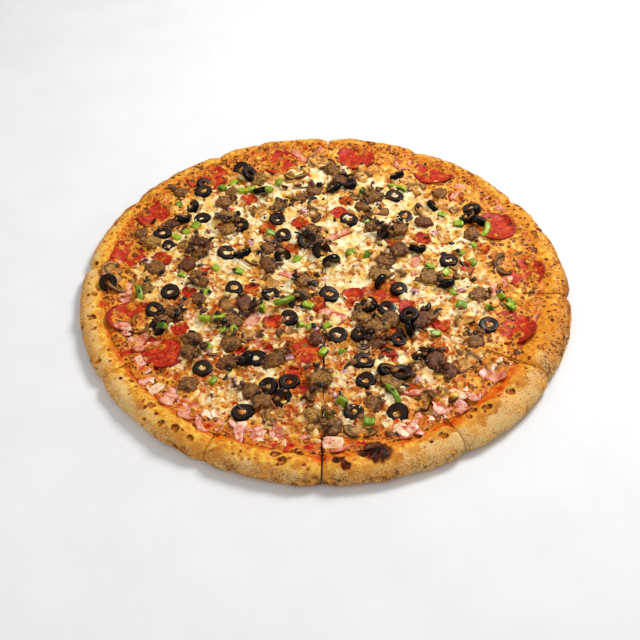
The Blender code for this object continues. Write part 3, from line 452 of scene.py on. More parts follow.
class Heap:
    """Pieces of one kind, gathered for one mesh."""

    def __init__(self):
        self.points = []
        self.faces = []
        self.fields = {}
        self.count = 0

    def add(self, points, faces, **fields):
        self.points.append(points)
        self.faces += [tuple(self.count + index for index in face) for face in faces]
        self.count += len(points)
        for name, values in fields.items():
            values = np.broadcast_to(values, len(points))
            self.fields.setdefault(name, []).append(values)

    def mesh_object(self, name, surface, slot, nodes=()):
        fields = {key: np.concatenate(parts) for key, parts in self.fields.items()}
        return new_piece(name, np.concatenate(self.points), self.faces, fields, surface, nodes)


def new_piece(name, points, faces, fields, surface, nodes):
    """A smooth mesh in metres that rides on the pizza and stands for CAD nodes."""
    mesh = bpy.data.meshes.new(name)
    sides = np.array([BOX_MARGIN, BOX_MARGIN, 0.0])
    points = np.clip(points, BOX_LOW + sides, BOX_HIGH - sides)
    mesh.from_pydata((points * MM).tolist(), [], faces)
    for key, values in fields.items():
        layer = mesh.attributes.new(key, "FLOAT", "POINT")
        layer.data.foreach_set("value", np.ascontiguousarray(values, np.float32))
    mesh.shade_smooth()
    mesh.materials.append(surface)
    made = bpy.data.objects.new(name, mesh)
    bpy.context.scene.collection.objects.link(made)
    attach(made, ROOT)
    if nodes:
        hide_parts(*nodes)
    return made


def zip_rows(low, high):
    """Triangles between two rows of points that may differ in number."""
    faces = []
    i, j = 0, 0
    last_low, last_high = len(low) - 1, len(high) - 1
    while i < last_low or j < last_high:
        if j == last_high or (i < last_low and (i + 1) * last_high <= (j + 1) * last_low):
            faces.append((low[i], high[j], low[i + 1]))
            i += 1
        else:
            faces.append((low[i], high[j], high[j + 1]))
            j += 1
    return faces


def closed_slab(top_rows, bottom_rows, shared_edge):
    """One closed mesh between rows of points above and below. Shared: both end on one row."""
    rows = top_rows + (bottom_rows[:-1] if shared_edge else bottom_rows)
    starts = np.cumsum([0] + [len(row) for row in rows])
    ids = [list(range(start, start + len(row))) for start, row in zip(starts, rows)]
    top, bottom = ids[:len(top_rows)], ids[len(top_rows):]
    if shared_edge:
        bottom.append(top[-1])
    faces = []
    for low, high in zip(top, top[1:]):
        faces += zip_rows(low, high)
    for low, high in zip(bottom, bottom[1:]):
        faces += zip_rows(high, low)
    first_top, last_top = ([row[side] for row in top] for side in (0, -1))
    first_bottom, last_bottom = ([row[side] for row in bottom] for side in (0, -1))
    if shared_edge:
        first_top, last_top = first_top[:-1], last_top[:-1]
    faces += zip_rows(first_top, first_bottom)
    faces += zip_rows(last_bottom, last_top)
    if shared_edge:
        faces.append((first_top[-1], first_bottom[-1], first_bottom[-2]))
    faces += zip_rows(bottom[0], top[0])
    if not shared_edge:
        faces += zip_rows(top[-1], bottom[-1])
    return np.concatenate(rows), faces


def slice_row(first, last, share, spacing, reach, closing=1.0):
    """(radius, bearing) across a slice, at a share of the way from its tip to its reach."""
    width = math.radians(last - first) * max(share, 0.01) * CHEESE_REACH
    part = np.linspace(0.0, 1.0, max(2, round(width / spacing)) + 1)
    end = reach(first + (last - first) * part) if callable(reach) else np.full_like(part, reach)
    radius = TIP_RADIUS + (end - TIP_RADIUS) * share
    return radius, between_cuts(first, last, radius, part, closing)


def between_cuts(first, last, radius, part, closing=1.0):
    """Bearings at shares of the way from one cut face to the other."""
    start = first + np.degrees(np.arcsin(0.5 * gap_at(first, closing) / radius))
    end = last - np.degrees(np.arcsin(0.5 * gap_at(last, closing) / radius))
    if closing < 1.0:
        start, end = (side + drift(radius, cut) for side, cut in ((start, first), (end, last)))
    return start + (end - start) * part


def drift(radius, cut):
    """How far a cut in the cheese wanders to its side, in degrees."""
    wander = 0.7 * noise_field(radius, np.full_like(radius, cut % 360.0), 7.0, 45.0)
    return np.degrees(wander * ease(radius / 30.0) / radius)


def distance_to_faces(first, last, radius, bearing):
    to_first = radius * np.sin(np.radians(bearing - first)) - 0.5 * gap_at(first)
    to_last = radius * np.sin(np.radians(last - bearing)) - 0.5 * gap_at(last)
    return np.minimum(to_first, to_last)


def stacked(x, y, z):
    return np.stack([x, y, z], axis=-1)


def ball(subdivisions):
    """Unit points and faces of an even ball."""
    bm = bmesh.new()
    bmesh.ops.create_icosphere(bm, subdivisions=subdivisions, radius=1.0)
    points = np.array([vert.co[:] for vert in bm.verts])
    faces = [tuple(vert.index for vert in face.verts) for face in bm.faces]
    bm.free()
    return points, faces


FINE_BALL = ball(4)
BALL = ball(3)
COARSE_BALL = ball(2)


def turned(points, turn, tilt=0.0, lean_to=0.0):
    """Points tilted, with the tilt's axis at lean_to, and turned about Z."""
    matrix = Euler((0.0, 0.0, math.radians(lean_to))).to_matrix()
    matrix = matrix @ Euler((math.radians(tilt), 0.0, 0.0)).to_matrix()
    matrix = matrix @ Euler((0.0, 0.0, math.radians(turn))).to_matrix()
    return points @ np.array(matrix).T


def rough(points, size, depth, seed):
    """Noise at each point of a small piece."""
    x, y, z = (points[:, axis] + seed for axis in range(3))
    return depth * noise_field(x, y, size, 0.0, z)


def any_turn(rng):
    return rng.uniform(0.0, 360.0)


def any_seed(rng):
    return rng.uniform(0.0, 900.0)


def any_shade(rng):
    return rng.uniform(-1.0, 1.0)


def spun(rng, points, tilt):
    """Points turned at random, and tilted to a random side."""
    return turned(points, any_turn(rng), tilt, any_turn(rng))


def tumbled(rng, points, most_tilt):
    """The same, with a random tilt."""
    return turned(points, any_turn(rng), rng.uniform(0.0, most_tilt), any_turn(rng))


OLIVE_RADIUS = 8.0
OLIVE_PROFILE = (
    (1.0, 0.0), (0.985, 0.55), (0.945, 0.86), (0.89, 1.0), (0.72, 0.9), (0.55, 0.92),
    (0.42, 0.94), (0.365, 0.75), (0.34, 0.35),
)
OLIVE_SIDES = 30
# An olive's lean in the table, once it has shrunken
SHRUNKEN = 3


def bell(values, middle, width):
    return np.exp(-(((values - middle) / width) ** 2))


def olive(rng, lean):
    """An olive slice: glossy skin round a dull cut face, with an open middle."""
    outer = OLIVE_RADIUS * rng.uniform(0.9, 1.07) * (0.72 if lean == SHRUNKEN else 1.0)
    half = rng.uniform(2.1, 2.7)
    profile = OLIVE_PROFILE + tuple((radius, -z) for radius, z in OLIVE_PROFILE[:0:-1])
    phase, squeeze = rng.uniform(0.0, 6.28), rng.uniform(0.02, 0.07)
    angles = np.arange(OLIVE_SIDES) * 2.0 * math.pi / OLIVE_SIDES
    grid = []
    for share, height in profile:
        hole = rng.uniform(-0.02, 0.02) if share < 0.5 else 0.0
        radius = outer * (share + hole) * (1.0 + squeeze * np.cos(2.0 * angles + phase))
        z = half * height + 0.5 * np.cos(2.0 * angles + 2.0 * phase) * share
        grid.append(stacked(radius * np.cos(angles), radius * np.sin(angles), z))
    points = np.concatenate(grid)
    points += points * rough(points, 5.0, 0.035, any_seed(rng))[:, None]
    faces = []
    for row in range(len(profile)):
        low, high = row * OLIVE_SIDES, (row + 1) % len(profile) * OLIVE_SIDES
        for side in range(OLIVE_SIDES):
            after = (side + 1) % OLIVE_SIDES
            faces.append((low + side, low + after, high + after, high + side))
    shares = np.repeat([share for share, _ in profile], OLIVE_SIDES)
    skin, lip, band = ease((shares - 0.86) / 0.08), bell(shares, 0.41, 0.06), bell(shares, 0.72, 0.08)
    tilt = (rng.uniform(0.0, 9.0), rng.uniform(24.0, 48.0), rng.uniform(68.0, 80.0), 25.0)[lean]
    return spun(rng, points, tilt), faces, dict(skin=skin, lip=lip, band=band, shade=any_shade(rng))


def sausage(rng):
    """A crumbled piece of sausage, lumpy and pebbled, with a flattened top."""
    points, faces = FINE_BALL
    seed = any_seed(rng)
    size = 7.4 * rng.uniform(0.84, 1.16)
    swell = 1.0 + rough(points, 0.8, 0.24, seed) + rough(points, 0.36, 0.1, seed + 50.0)
    swell = swell + rough(points, 0.15, 0.075, seed + 90.0)
    shape = np.array([rng.uniform(0.98, 1.18), rng.uniform(0.84, 1.0), rng.uniform(0.5, 0.64)])
    points = points * swell[:, None] * shape * size
    points[:, 2] -= 0.7 * np.maximum(points[:, 2] - rng.uniform(2.0, 3.0), 0.0)
    # The last field tells how deep each point lies in a dent, for the dents' painted shade
    return tumbled(rng, points, 18.0), faces, dict(shade=any_shade(rng), pit=swell - 1.0)


def crumb(rng, size):
    """A small uneven lump."""
    points, faces = COARSE_BALL
    swell = 1.0 + rough(points, 0.9, 0.5, any_seed(rng))
    shape = np.array([rng.uniform(0.8, 1.4), rng.uniform(0.7, 1.0), rng.uniform(0.5, 0.8)])
    points = points * swell[:, None] * shape * size
    return tumbled(rng, points, 30.0), faces, dict(shade=rng.random())


def blunted(template, power):
    """A ball's points drawn out towards the corners of a block, and its faces."""
    unit, faces = template
    return unit / np.abs(unit).max(axis=1)[:, None] ** power, faces


def curl(rng):
    """A shrivelled sliver of vegetable, bent round."""
    half_length, half_width = rng.uniform(2.6, 5.6), rng.uniform(0.8, 1.4)
    bend = rng.uniform(4.0, 9.0)
    blunt, faces = blunted(BALL, 0.6)
    points = blunt * np.array([half_length, half_width, rng.uniform(0.6, 1.1)])
    points += points * rough(points, 2.5, 0.4, any_seed(rng))[:, None]
    turn = points[:, 0] / bend
    away = bend + points[:, 1]
    height = points[:, 2] + 0.5 * np.sin(3.0 * turn)
    points = stacked(away * np.sin(turn), away * np.cos(turn) - bend, height)
    return tumbled(rng, points, 25.0), faces, dict(shade=rng.random())


def shred(rng, size):
    """A soft pale shred of ham or cheese, half melted."""
    blunt, faces = blunted(BALL, 0.5)
    swell = 1.0 + rough(BALL[0], 1.3, 0.6, any_seed(rng))
    shape = np.array([rng.uniform(1.0, 2.0), rng.uniform(0.8, 1.2), rng.uniform(0.18, 0.28)])
    points = blunt * swell[:, None] * shape * size
    points[:, 2] += 0.05 * points[:, 0] ** 2 * rng.uniform(-1.0, 1.0)
    return tumbled(rng, points, 20.0), faces, dict(shade=rng.random())


def rounded_block(length, width, height, rng):
    """A cut piece of vegetable with soft edges; one long side is its skin."""
    boxy, faces = blunted(BALL, 0.78)
    points = boxy * np.array([length, width, height]) / 2.0
    points += points * rough(points, 4.0, 0.14, any_seed(rng))[:, None]
    return points, faces, dict(skin=ease((boxy[:, 1] - 0.62) / 0.25), shade=any_shade(rng))


def pepper_dice(rng):
    size = 8.3 * rng.uniform(0.75, 1.12)
    points, faces, fields = rounded_block(size, size * rng.uniform(0.66, 0.9), PEPPER_THICKNESS, rng)
    points[:, 2] += 0.03 * points[:, 0] ** 2
    tilt = rng.uniform(0.0, 20.0) if rng.random() < 0.75 else rng.uniform(40.0, 80.0)
    return spun(rng, points, tilt), faces, fields


def pepper_strip(rng, length, turn):
    points, faces, fields = rounded_block(length, 5.2, PEPPER_THICKNESS, rng)
    points[:, 1] += 0.02 * points[:, 0] ** 2 - 1.0
    points[:, 2] += 0.35 * np.sin(points[:, 0] * 2.2)
    return turned(points, turn, rng.uniform(-20.0, 20.0)), faces, fields


def onion(rng):
    points, faces, fields = rounded_block(rng.uniform(6.5, 9.5), rng.uniform(4.5, 6.0), 1.6, rng)
    points[:, 2] -= 0.06 * points[:, 1] ** 2 + 0.03 * points[:, 0] ** 2
    return spun(rng, points, rng.uniform(0.0, 25.0)), faces, fields


def plate(outline, thickness, shares):
    """A thin piece: rings from the outline to its middle, above and below."""
    sides, count = len(outline), len(shares)
    rings = []
    for side in (1.0, -1.0):
        for share in shares:
            depth = thickness * (0.28 if share == 1.0 else 0.46 if share > 0.9 else 0.5)
            rings.append(stacked(*(outline.T * share), np.full(sides, side * depth)))
    middle = np.array([[0.0, 0.0, 0.5 * thickness], [0.0, 0.0, -0.5 * thickness]])
    under, above_middle = count * sides, 2 * count * sides
    faces = []
    for side in range(sides):
        after = (side + 1) % sides
        for row in range(count - 1):
            low, high = row * sides, (row + 1) * sides
            faces.append((low + side, low + after, high + after, high + side))
            low, high = low + under, high + under
            faces.append((low + after, low + side, high + side, high + after))
        last = (count - 1) * sides
        faces.append((last + side, last + after, above_middle))
        faces.append((last + under + after, last + under + side, above_middle + 1))
        faces.append((side + under, after + under, after, side))
    depths = np.append(np.repeat(shares * 2, sides), (0.0, 0.0))
    return np.concatenate(rings + [middle]), faces, depths


def spaced(outline, count):
    """The same closed outline with evenly spaced points."""
    closed = np.array(list(outline) + [outline[0]])
    lengths = np.hypot(*np.diff(closed, axis=0).T)
    along = np.concatenate([[0.0], np.cumsum(lengths)])
    places = np.linspace(0.0, along[-1], count, endpoint=False)
    return np.stack([np.interp(places, along, closed[:, axis]) for axis in (0, 1)], axis=1)


PLATE_SIDES = 48
PLATE_SHARES = (1.0, 0.95, 0.88, 0.78, 0.67, 0.55, 0.43, 0.3, 0.15)
FINE_SHARES = (1.0, 0.97, 0.92, 0.86, 0.79, 0.72, 0.64, 0.56, 0.47, 0.38, 0.28, 0.18, 0.08)
# Keeps the places of points in a plate's plane
FLAT = (1, 1, 0)


def mushroom(rng, turn):
    """A mushroom cut lengthways, curled as it dried: cap, gills and stem."""
    cap = 12.3 * rng.uniform(0.84, 1.08)
    squeeze = rng.uniform(0.62, 0.78)
    stem = 0.3 * cap * rng.uniform(0.85, 1.15)
    outline = []
    for step in range(13):
        x, y = polar(cap, -14.0 + 208.0 * step / 12.0)
        outline.append((x * rng.uniform(0.95, 1.04), squeeze * y))
    left = [(-0.62 * cap, -0.3 * cap), (-stem, -0.16 * cap), (-1.2 * stem, -0.85 * cap)]
    outline += left + [(0.0, -0.95 * cap)] + [(-x, y) for x, y in reversed(left)]
    points, faces, share = plate(spaced(outline, PLATE_SIDES), 3.0, PLATE_SHARES)
    u, v = points[:, 0] / cap, points[:, 1] / cap
    gill = bell(np.hypot(u, v / 0.8), 0.62, 0.13) * ease((v + 0.3) / 0.2)
    gill = np.maximum(gill, bell(v, -0.14, 0.1) * ease((np.abs(u) - 0.28) / 0.1))
    bend_x, bend_y = rng.uniform(-0.018, 0.022), rng.uniform(-0.02, 0.02)
    points[:, 2] += bend_x * points[:, 0] ** 2 + bend_y * points[:, 1] ** 2
    points[:, 2] += rough(points * FLAT, 6.0, 1.1, any_seed(rng)) - 0.5 * gill
    shade = any_shade(rng)
    points = turned(points, turn, rng.uniform(0.0, 22.0), any_turn(rng))
    return points, faces, dict(gill=gill, share=share, shade=shade)


def ham(rng, turn, length=26.0, width=17.0):
    """A torn piece of ham in soft folds."""
    length, width = length * rng.uniform(0.85, 1.15), width * rng.uniform(0.85, 1.15)
    outline = []
    for side in range(16):
        angle = 2.0 * math.pi * side / 16.0
        reach = 1.0 / max(abs(math.cos(angle)), abs(math.sin(angle))) ** 0.55
        reach *= rng.uniform(0.86, 1.08)
        outline.append((0.47 * length * reach * math.cos(angle), 0.47 * width * reach * math.sin(angle)))
    points, faces, share = plate(spaced(outline, PLATE_SIDES), 1.5, PLATE_SHARES)
    phase, bend = rng.uniform(0.0, 6.28), rng.uniform(0.2, 0.36)
    fold = np.sin(points[:, 1] * bend + phase + 0.05 * points[:, 0])
    points[:, 2] += 1.2 * fold + rough(points * FLAT, 9.0, 1.3, any_seed(rng))
    points = turned(points, turn, rng.uniform(0.0, 5.0), any_turn(rng))
    return points, faces, dict(share=share, shade=any_shade(rng))


def pepperoni(rng, turn, radius=18.5, sides=72, shares=FINE_SHARES):
    """A slice of pepperoni with a cupped, browned edge and pitted fat."""
    radius *= rng.uniform(0.95, 1.03)
    angles = np.arange(sides) * 2.0 * math.pi / sides
    phase = rng.uniform(0.0, 6.28)
    reach = radius * (1.0 + 0.02 * np.cos(2.0 * angles + phase) + 0.012 * np.cos(5.0 * angles))
    outline = np.stack([reach * np.cos(angles), reach * np.sin(angles)], axis=1)
    points, faces, share = plate(outline, 1.8, shares)
    around = np.arctan2(points[:, 1], points[:, 0])
    cup = 1.5 + 0.9 * np.cos(2.0 * around + phase) + 0.4 * np.cos(3.0 * around - phase)
    points[:, 2] += cup * ease((share - 0.6) / 0.42) * share
    points[:, 2] += rough(points * FLAT, 8.0, 0.5, phase * 100.0)
    points[:, 2] += rough(points * FLAT, 2.6, 0.3, phase * 100.0 + 30.0)
    points = turned(points, turn, rng.uniform(0.0, 5.0), phase * 57.0)
    return points, faces, dict(share=share, shade=any_shade(rng))


PILE = GROUND.copy()
LUMPS = np.zeros_like(GROUND)
HIDDEN = np.zeros_like(GROUND)
STAIN = np.zeros_like(GROUND)
FILLED = np.zeros_like(GROUND)


def heaped(points, columns, rows, mark, value):
    """Adds a laid piece's points to the pile, and marks the cells that it covers."""
    for step_x in (-1, 0, 1):
        for step_y in (-1, 0, 1):
            near = (np.clip(columns + step_x, 0, len(AXIS) - 1), np.clip(rows + step_y, 0, len(AXIS) - 1))
            np.maximum.at(PILE, near, points[:, 2])
            mark[near] = np.maximum(mark[near], value)


def lay(heap, made, x, y, sink, share=0.8):
    """Puts a firm piece down on what already lies there, a little sunk."""
    points, faces, fields = made
    columns, rows = cell_of(points[:, 0] + x), cell_of(points[:, 1] + y)
    under = points[:, 2] <= np.median(points[:, 2])
    need = PILE[columns, rows] - points[:, 2]
    rest = np.quantile(need[under], share) - sink
    rest = min(rest, TOP_LIMIT - points[:, 2].max())
    placed = points + np.array([x, y, rest])
    heaped(placed, columns, rows, LUMPS, 1.0)
    heap.add(placed, faces, **fields)


def drape(heap, made, x, y, sink, hidden):
    """Lays a soft flat piece along the ground and over what already lies there."""
    points, faces, fields = made
    placed = points + np.array([x, y, 0.0])
    columns, rows = cell_of(placed[:, 0]), cell_of(placed[:, 1])
    lift = np.quantile(PILE[columns, rows] - GROUND[columns, rows], 0.7)
    placed[:, 2] += sample(GROUND, placed[:, 0], placed[:, 1]) + lift - sink
    placed[:, 2] = np.minimum(placed[:, 2], TOP_LIMIT)
    heaped(placed, columns, rows, HIDDEN, hidden)
    heap.add(placed, faces, **fields)


def slope_laid(made, x, y, reach):
    """The same piece lying along the ground's slope."""
    points, faces, fields = made
    near_x, near_y = np.array([x + reach, x - reach, x, x]), np.array([y, y, y + reach, y - reach])
    heights = sample(GROUND, near_x, near_y)
    normal = Vector((heights[1] - heights[0], heights[3] - heights[2], 2.0 * reach)).normalized()
    matrix = Vector((0.0, 0.0, 1.0)).rotation_difference(normal).to_matrix()
    return points @ np.array(matrix).T, faces, fields


def node_places(kind, places, reach):
    """Each place of a kind, at its node's middle where a node lies there."""
    nodes = sorted(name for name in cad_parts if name.startswith(kind + "_"))
    middles = []
    for name in nodes:
        low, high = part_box(name)
        middles.append(((low.x + high.x) / 2.0 / MM, (low.y + high.y) / 2.0 / MM))
    moved = []
    for x, y, *rest in places:
        near = [spot for spot in middles if math.hypot(spot[0] - x, spot[1] - y) < reach]
        moved.append((*near[0], *rest) if near else (x, y, *rest))
    return nodes, moved


def tone(red, green, blue):
    """A colour given as it looks on screen, from 0 to 255."""
    values = [value / 255.0 for value in (red, green, blue)]
    linear = [value / 12.92 if value < 0.04 else ((value + 0.055) / 1.055) ** 2.4 for value in values]
    return (*linear, 1.0)


class Value:
    """A number or colour at each point of a material, which can be added, multiplied and so on."""

    def __init__(self, shader, socket):
        self.shader = shader
        self.socket = socket

    def reckoned(self, operation, other):
        node = self.shader.tree.nodes.new("ShaderNodeMath")
        node.operation = operation
        self.shader.put(self, node.inputs[0])
        self.shader.put(other, node.inputs[1])
        return Value(self.shader, node.outputs[0])

    def __add__(self, other):
        return self.reckoned("ADD", other)

    def __sub__(self, other):
        return self.reckoned("SUBTRACT", other)

    def __mul__(self, other):
        return self.reckoned("MULTIPLY", other)

    def span(self, low, high, to_low=0.0, to_high=1.0):
        """The value taken smoothly from one range to another."""
        node = self.shader.tree.nodes.new("ShaderNodeMapRange")
        node.interpolation_type = "SMOOTHSTEP"
        self.shader.put(self, node.inputs["Value"])
        ends = {"From Min": low, "From Max": high, "To Min": to_low, "To Max": to_high}
        for name, number in ends.items():
            node.inputs[name].default_value = number
        return Value(self.shader, node.outputs["Result"])


class Shader:
    """A node material while it is being put together."""

    def __init__(self, name, roughness, specular=0.5):
        self.material = bpy.data.materials.new(name)
        self.material.use_nodes = True
        self.tree = self.material.node_tree
        self.surface = self.tree.nodes["Principled BSDF"]
        self.surface.inputs["Roughness"].default_value = roughness
        self.surface.inputs["Specular IOR Level"].default_value = specular
        self.place = self.tree.nodes.new("ShaderNodeTexCoord").outputs["Object"]

    def put(self, value, socket):
        """A value, a number or a colour from 0 to 255 goes into a socket."""
        if isinstance(value, Value):
            self.tree.links.new(value.socket, socket)
        else:
            socket.default_value = tone(*value) if socket.type == "RGBA" else value

    def field(self, name):
        node = self.tree.nodes.new("ShaderNodeAttribute")
        node.attribute_name = name
        return Value(self, node.outputs["Fac"])

    def noise(self, size, detail=3.0, rough=0.55):
        """Noise from 0 to 1 in lumps of the given size in millimetres."""
        node = self.tree.nodes.new("ShaderNodeTexNoise")
        node.inputs["Scale"].default_value = 1.0 / (size * MM)
        node.inputs["Detail"].default_value = detail
        node.inputs["Roughness"].default_value = rough
        self.tree.links.new(self.place, node.inputs["Vector"])
        return Value(self, node.outputs["Fac"])

    def mottled(self, size, detail=3.0, to_low=0.0, to_high=1.0):
        """Soft patches of the given size, about half of them high."""
        return self.noise(size, detail).span(0.35, 0.65, to_low, to_high)

    def blend(self, share, first, second):
        node = self.tree.nodes.new("ShaderNodeMix")
        node.data_type = "RGBA"
        self.put(share, node.inputs["Factor"])
        colours = [socket for socket in node.inputs if socket.type == "RGBA"]
        self.put(first, colours[0])
        self.put(second, colours[1])
        return Value(self, next(socket for socket in node.outputs if socket.type == "RGBA"))

    def cover(self, share, colour):
        """Covers a share of the present colour with another."""
        self.colour = self.blend(share, self.colour, colour)

    def cover_blisters(self):
        """The blisters' orange-brown middles and dark rings."""
        self.cover(self.field("core").span(0.2, 0.8, 0.0, 0.9), (208, 108, 22))
        self.cover(self.field("scorch").span(0.22, 0.7, 0.0, 0.95), (92, 40, 10))

    def roughness(self, value):
        self.put(value, self.surface.inputs["Roughness"])

    def bump(self, height, depth):
        node = self.tree.nodes.new("ShaderNodeBump")
        node.inputs["Distance"].default_value = depth * MM
        self.put(height, node.inputs["Height"])
        self.tree.links.new(node.outputs["Normal"], self.surface.inputs["Normal"])

    def done(self):
        self.put(self.colour, self.surface.inputs["Base Color"])
        return self.material


def cheese_surface():
    s = Shader("cheese", 0.4, 0.22)
    fine, broad = s.noise(2.0), s.noise(9.0, 4.0)
    relief = s.field("relief") + (fine - 0.5) * 0.3
    baked = s.field("toast") + (broad - 0.5) * 1.3
    cream = s.blend(broad.span(0.42, 0.64), (254, 241, 198), (245, 205, 110))
    golden = s.blend(s.noise(5.0).span(0.38, 0.62), (254, 216, 112), (240, 160, 44))
    tops = s.blend(baked.span(0.1, 0.95), cream, golden)
    # Painted shade: the low places between the curds are darker orange-brown, browner where the cheese is
    # more baked
    shaded_hollow = s.blend(baked.span(0.1, 0.9), (216, 148, 54), (210, 100, 16))
    shaded_hollow = s.blend(s.noise(4.0).span(0.46, 0.62), shaded_hollow, (136, 70, 20))
    s.colour = s.blend(relief.span(0.74, 0.28), tops, shaded_hollow)
    stained = (s.field("stain") + s.noise(7.0, 4.0) * 1.3).span(1.2, 1.42)
    s.cover(stained, s.blend(fine.span(0.38, 0.62), (140, 52, 10), (226, 116, 26)))
    sauce = s.field("sauce") + (fine * 0.3 - relief * 0.25)
    s.cover(sauce.span(0.36, 0.72), s.blend(s.mottled(3.0), (150, 16, 2), (214, 52, 6)))
    s.cover(s.field("halo") * fine.span(0.2, 0.6, 0.4, 0.9), (238, 164, 60))
    s.cover_blisters()
    s.roughness(s.mottled(6.0, 3.0, 0.26, 0.5))
    s.bump(s.noise(1.2, 3.0), 0.3)
    return s.done()


def shred_surface():
    s = Shader("pale shreds", 0.34)
    white = s.blend(s.mottled(3.0), (250, 226, 194), (238, 180, 136))
    pink = s.blend(s.mottled(3.0), (246, 196, 176), (222, 132, 106))
    s.colour = s.blend(s.field("shade").span(0.4, 0.6), white, pink)
    s.cover(s.noise(5.0).span(0.52, 0.66, 0.0, 0.85), (206, 76, 24))
    s.bump(s.noise(1.8, 2.0), 0.15)
    return s.done()


def crust_surface():
    s = Shader("baked dough", 0.7, 0.2)
    fine, broad, specks = s.noise(1.1, 5.0, 0.65), s.noise(16.0, 3.0), s.noise(4.2, 4.0)
    s.colour = s.blend(broad.span(0.36, 0.64), (222, 156, 74), (190, 114, 42))
    s.cover(s.field("brown") * specks.span(0.38, 0.62), (116, 60, 18))
    rich = s.blend(specks.span(0.36, 0.64), (252, 206, 88), (232, 150, 38))
    rich = s.blend(s.noise(10.0).span(0.52, 0.74), rich, (206, 118, 28))
    rich = s.blend(s.noise(2.4, 4.0).span(0.5, 0.62, 0.0, 0.6), rich, (208, 112, 20))
    s.cover(s.field("gold") * s.noise(7.0).span(0.2, 0.5, 0.6, 1.0), rich)
    deep = s.blend(s.noise(5.0).span(0.38, 0.62), (200, 60, 6), (234, 118, 16))
    s.cover(s.field("stain") * s.noise(6.0).span(0.25, 0.5, 0.5, 1.0), deep)
    dusted = (fine + (broad * 0.6 + s.field("flour") * 0.3)).span(0.94, 1.1)
    s.cover(s.field("flour").span(0.0, 0.4) * dusted * 0.8, (240, 206, 142))
    s.cover(s.noise(2.6, 3.0).span(0.63, 0.71) * s.field("freckled"), (140, 66, 20))
    s.cover(s.field("halo") * 0.7, (234, 152, 42))
    s.cover(s.field("border") * 0.6, (246, 186, 76))
    s.cover_blisters()
    s.cover(s.noise(2.4, 3.0).span(0.53, 0.6) * s.field("edged") * 0.9, (84, 40, 16))
    char = s.field("char")
    s.cover(char.span(0.1, 0.2, 0.0, 0.6), (206, 110, 30))
    s.cover(char.span(0.2, 0.6), s.blend(s.noise(5.0).span(0.4, 0.6), (118, 50, 14), (74, 30, 12)))
    s.cover((char + s.noise(4.0, 4.0) * 0.9).span(1.28, 1.5), (34, 15, 8))
    s.roughness((s.field("gold") * 0.8).reckoned("MAXIMUM", char).span(0.0, 1.0, 0.8, 0.22))
    s.bump(fine + s.noise(0.7, 2.0), 0.35)
    return s.done()


def olive_surface():
    s = Shader("olive", 0.22, 0.28)
    s.colour = s.blend(s.mottled(3.0), (28, 17, 12), (50, 33, 24))
    s.cover(s.field("band") * 0.4, (74, 52, 38))
    s.cover(s.field("skin"), (13, 9, 9))
    s.cover(s.field("lip") * 0.6, (92, 62, 44))
    s.roughness(s.field("skin").span(0.0, 1.0, 0.36, 0.15))
    s.bump(s.noise(0.9, 2.0), 0.08)
    return s.done()


def sausage_surface():
    s = Shader("sausage", 0.55, 0.3)
    grain = s.noise(2.2, 4.0, 0.6).span(0.34, 0.66)
    shade = s.field("shade")
    s.colour = s.blend(grain, (98, 62, 30), (166, 116, 62))
    s.cover(shade.span(-0.5, -0.95), s.blend(grain, (78, 40, 26), (138, 84, 54)))
    s.cover(shade.span(0.3, 0.9), s.blend(grain, (118, 80, 30), (196, 150, 74)))
    # Painted shade: the dents between the pebbles are dark brown
    s.cover(s.field("pit").span(-0.05, -0.26, 0.0, 0.8), (52, 28, 12))
    s.roughness(s.mottled(2.4, 3.0, 0.38, 0.65))
    s.bump(s.noise(1.1, 3.0), 0.5)
    return s.done()


def crumb_surface():
    s = Shader("crumbs", 0.42)
    shade = s.field("shade")
    s.colour = s.blend(shade.span(0.15, 0.4), (34, 22, 16), (98, 56, 26))
    s.cover(shade.span(0.5, 0.95), (172, 118, 56))
    s.cover(s.noise(1.5).span(0.42, 0.66, 0.0, 0.7), (60, 34, 18))
    s.roughness(s.mottled(2.0, 3.0, 0.28, 0.55))
    s.bump(s.noise(0.8, 2.0), 0.2)
    return s.done()


def pepper_surface():
    s = Shader("green pepper", 0.32)
    s.colour = s.blend(s.mottled(3.0), (140, 166, 26), (184, 196, 62))
    s.cover(s.field("shade").span(-0.2, 1.0), (116, 146, 22))
    s.cover(s.field("skin"), (70, 104, 20))
    s.bump(s.noise(1.2, 2.0), 0.15)
    return s.done()


def onion_surface():
    s = Shader("onion", 0.3, 0.3)
    s.colour = s.blend(s.mottled(2.5, 2.0), (170, 104, 116), (224, 186, 178))
    s.bump(s.noise(1.0, 2.0), 0.12)
    return s.done()


def mushroom_surface():
    s = Shader("mushroom", 0.5, 0.25)
    s.colour = s.blend(s.mottled(4.0), (224, 172, 94), (176, 118, 52))
    s.cover(s.field("shade").span(-0.4, 1.0, 0.0, 0.8), (132, 86, 40))
    s.cover(s.field("share").span(0.8, 1.0) * 0.9, (92, 56, 30))
    s.cover(s.field("gill") * 0.9, (62, 38, 22))
    s.bump(s.noise(1.2, 3.0), 0.25)
    return s.done()


def ham_surface():
    s = Shader("ham", 0.38, 0.3)
    s.colour = s.blend(s.noise(6.0).span(0.35, 0.62), (206, 116, 88), (232, 168, 138))
    # Whitish patches: pale fat, with painted highlights
    s.cover(s.noise(3.2).span(0.54, 0.72, 0.0, 0.85), (250, 220, 194))
    s.cover(s.noise(7.0).span(0.53, 0.68, 0.0, 0.8), (196, 74, 34))
    s.cover(s.field("share").span(0.8, 1.0) * s.noise(5.0).span(0.34, 0.56), (186, 84, 48))
    s.bump(s.noise(1.6, 2.0), 0.18)
    return s.done()


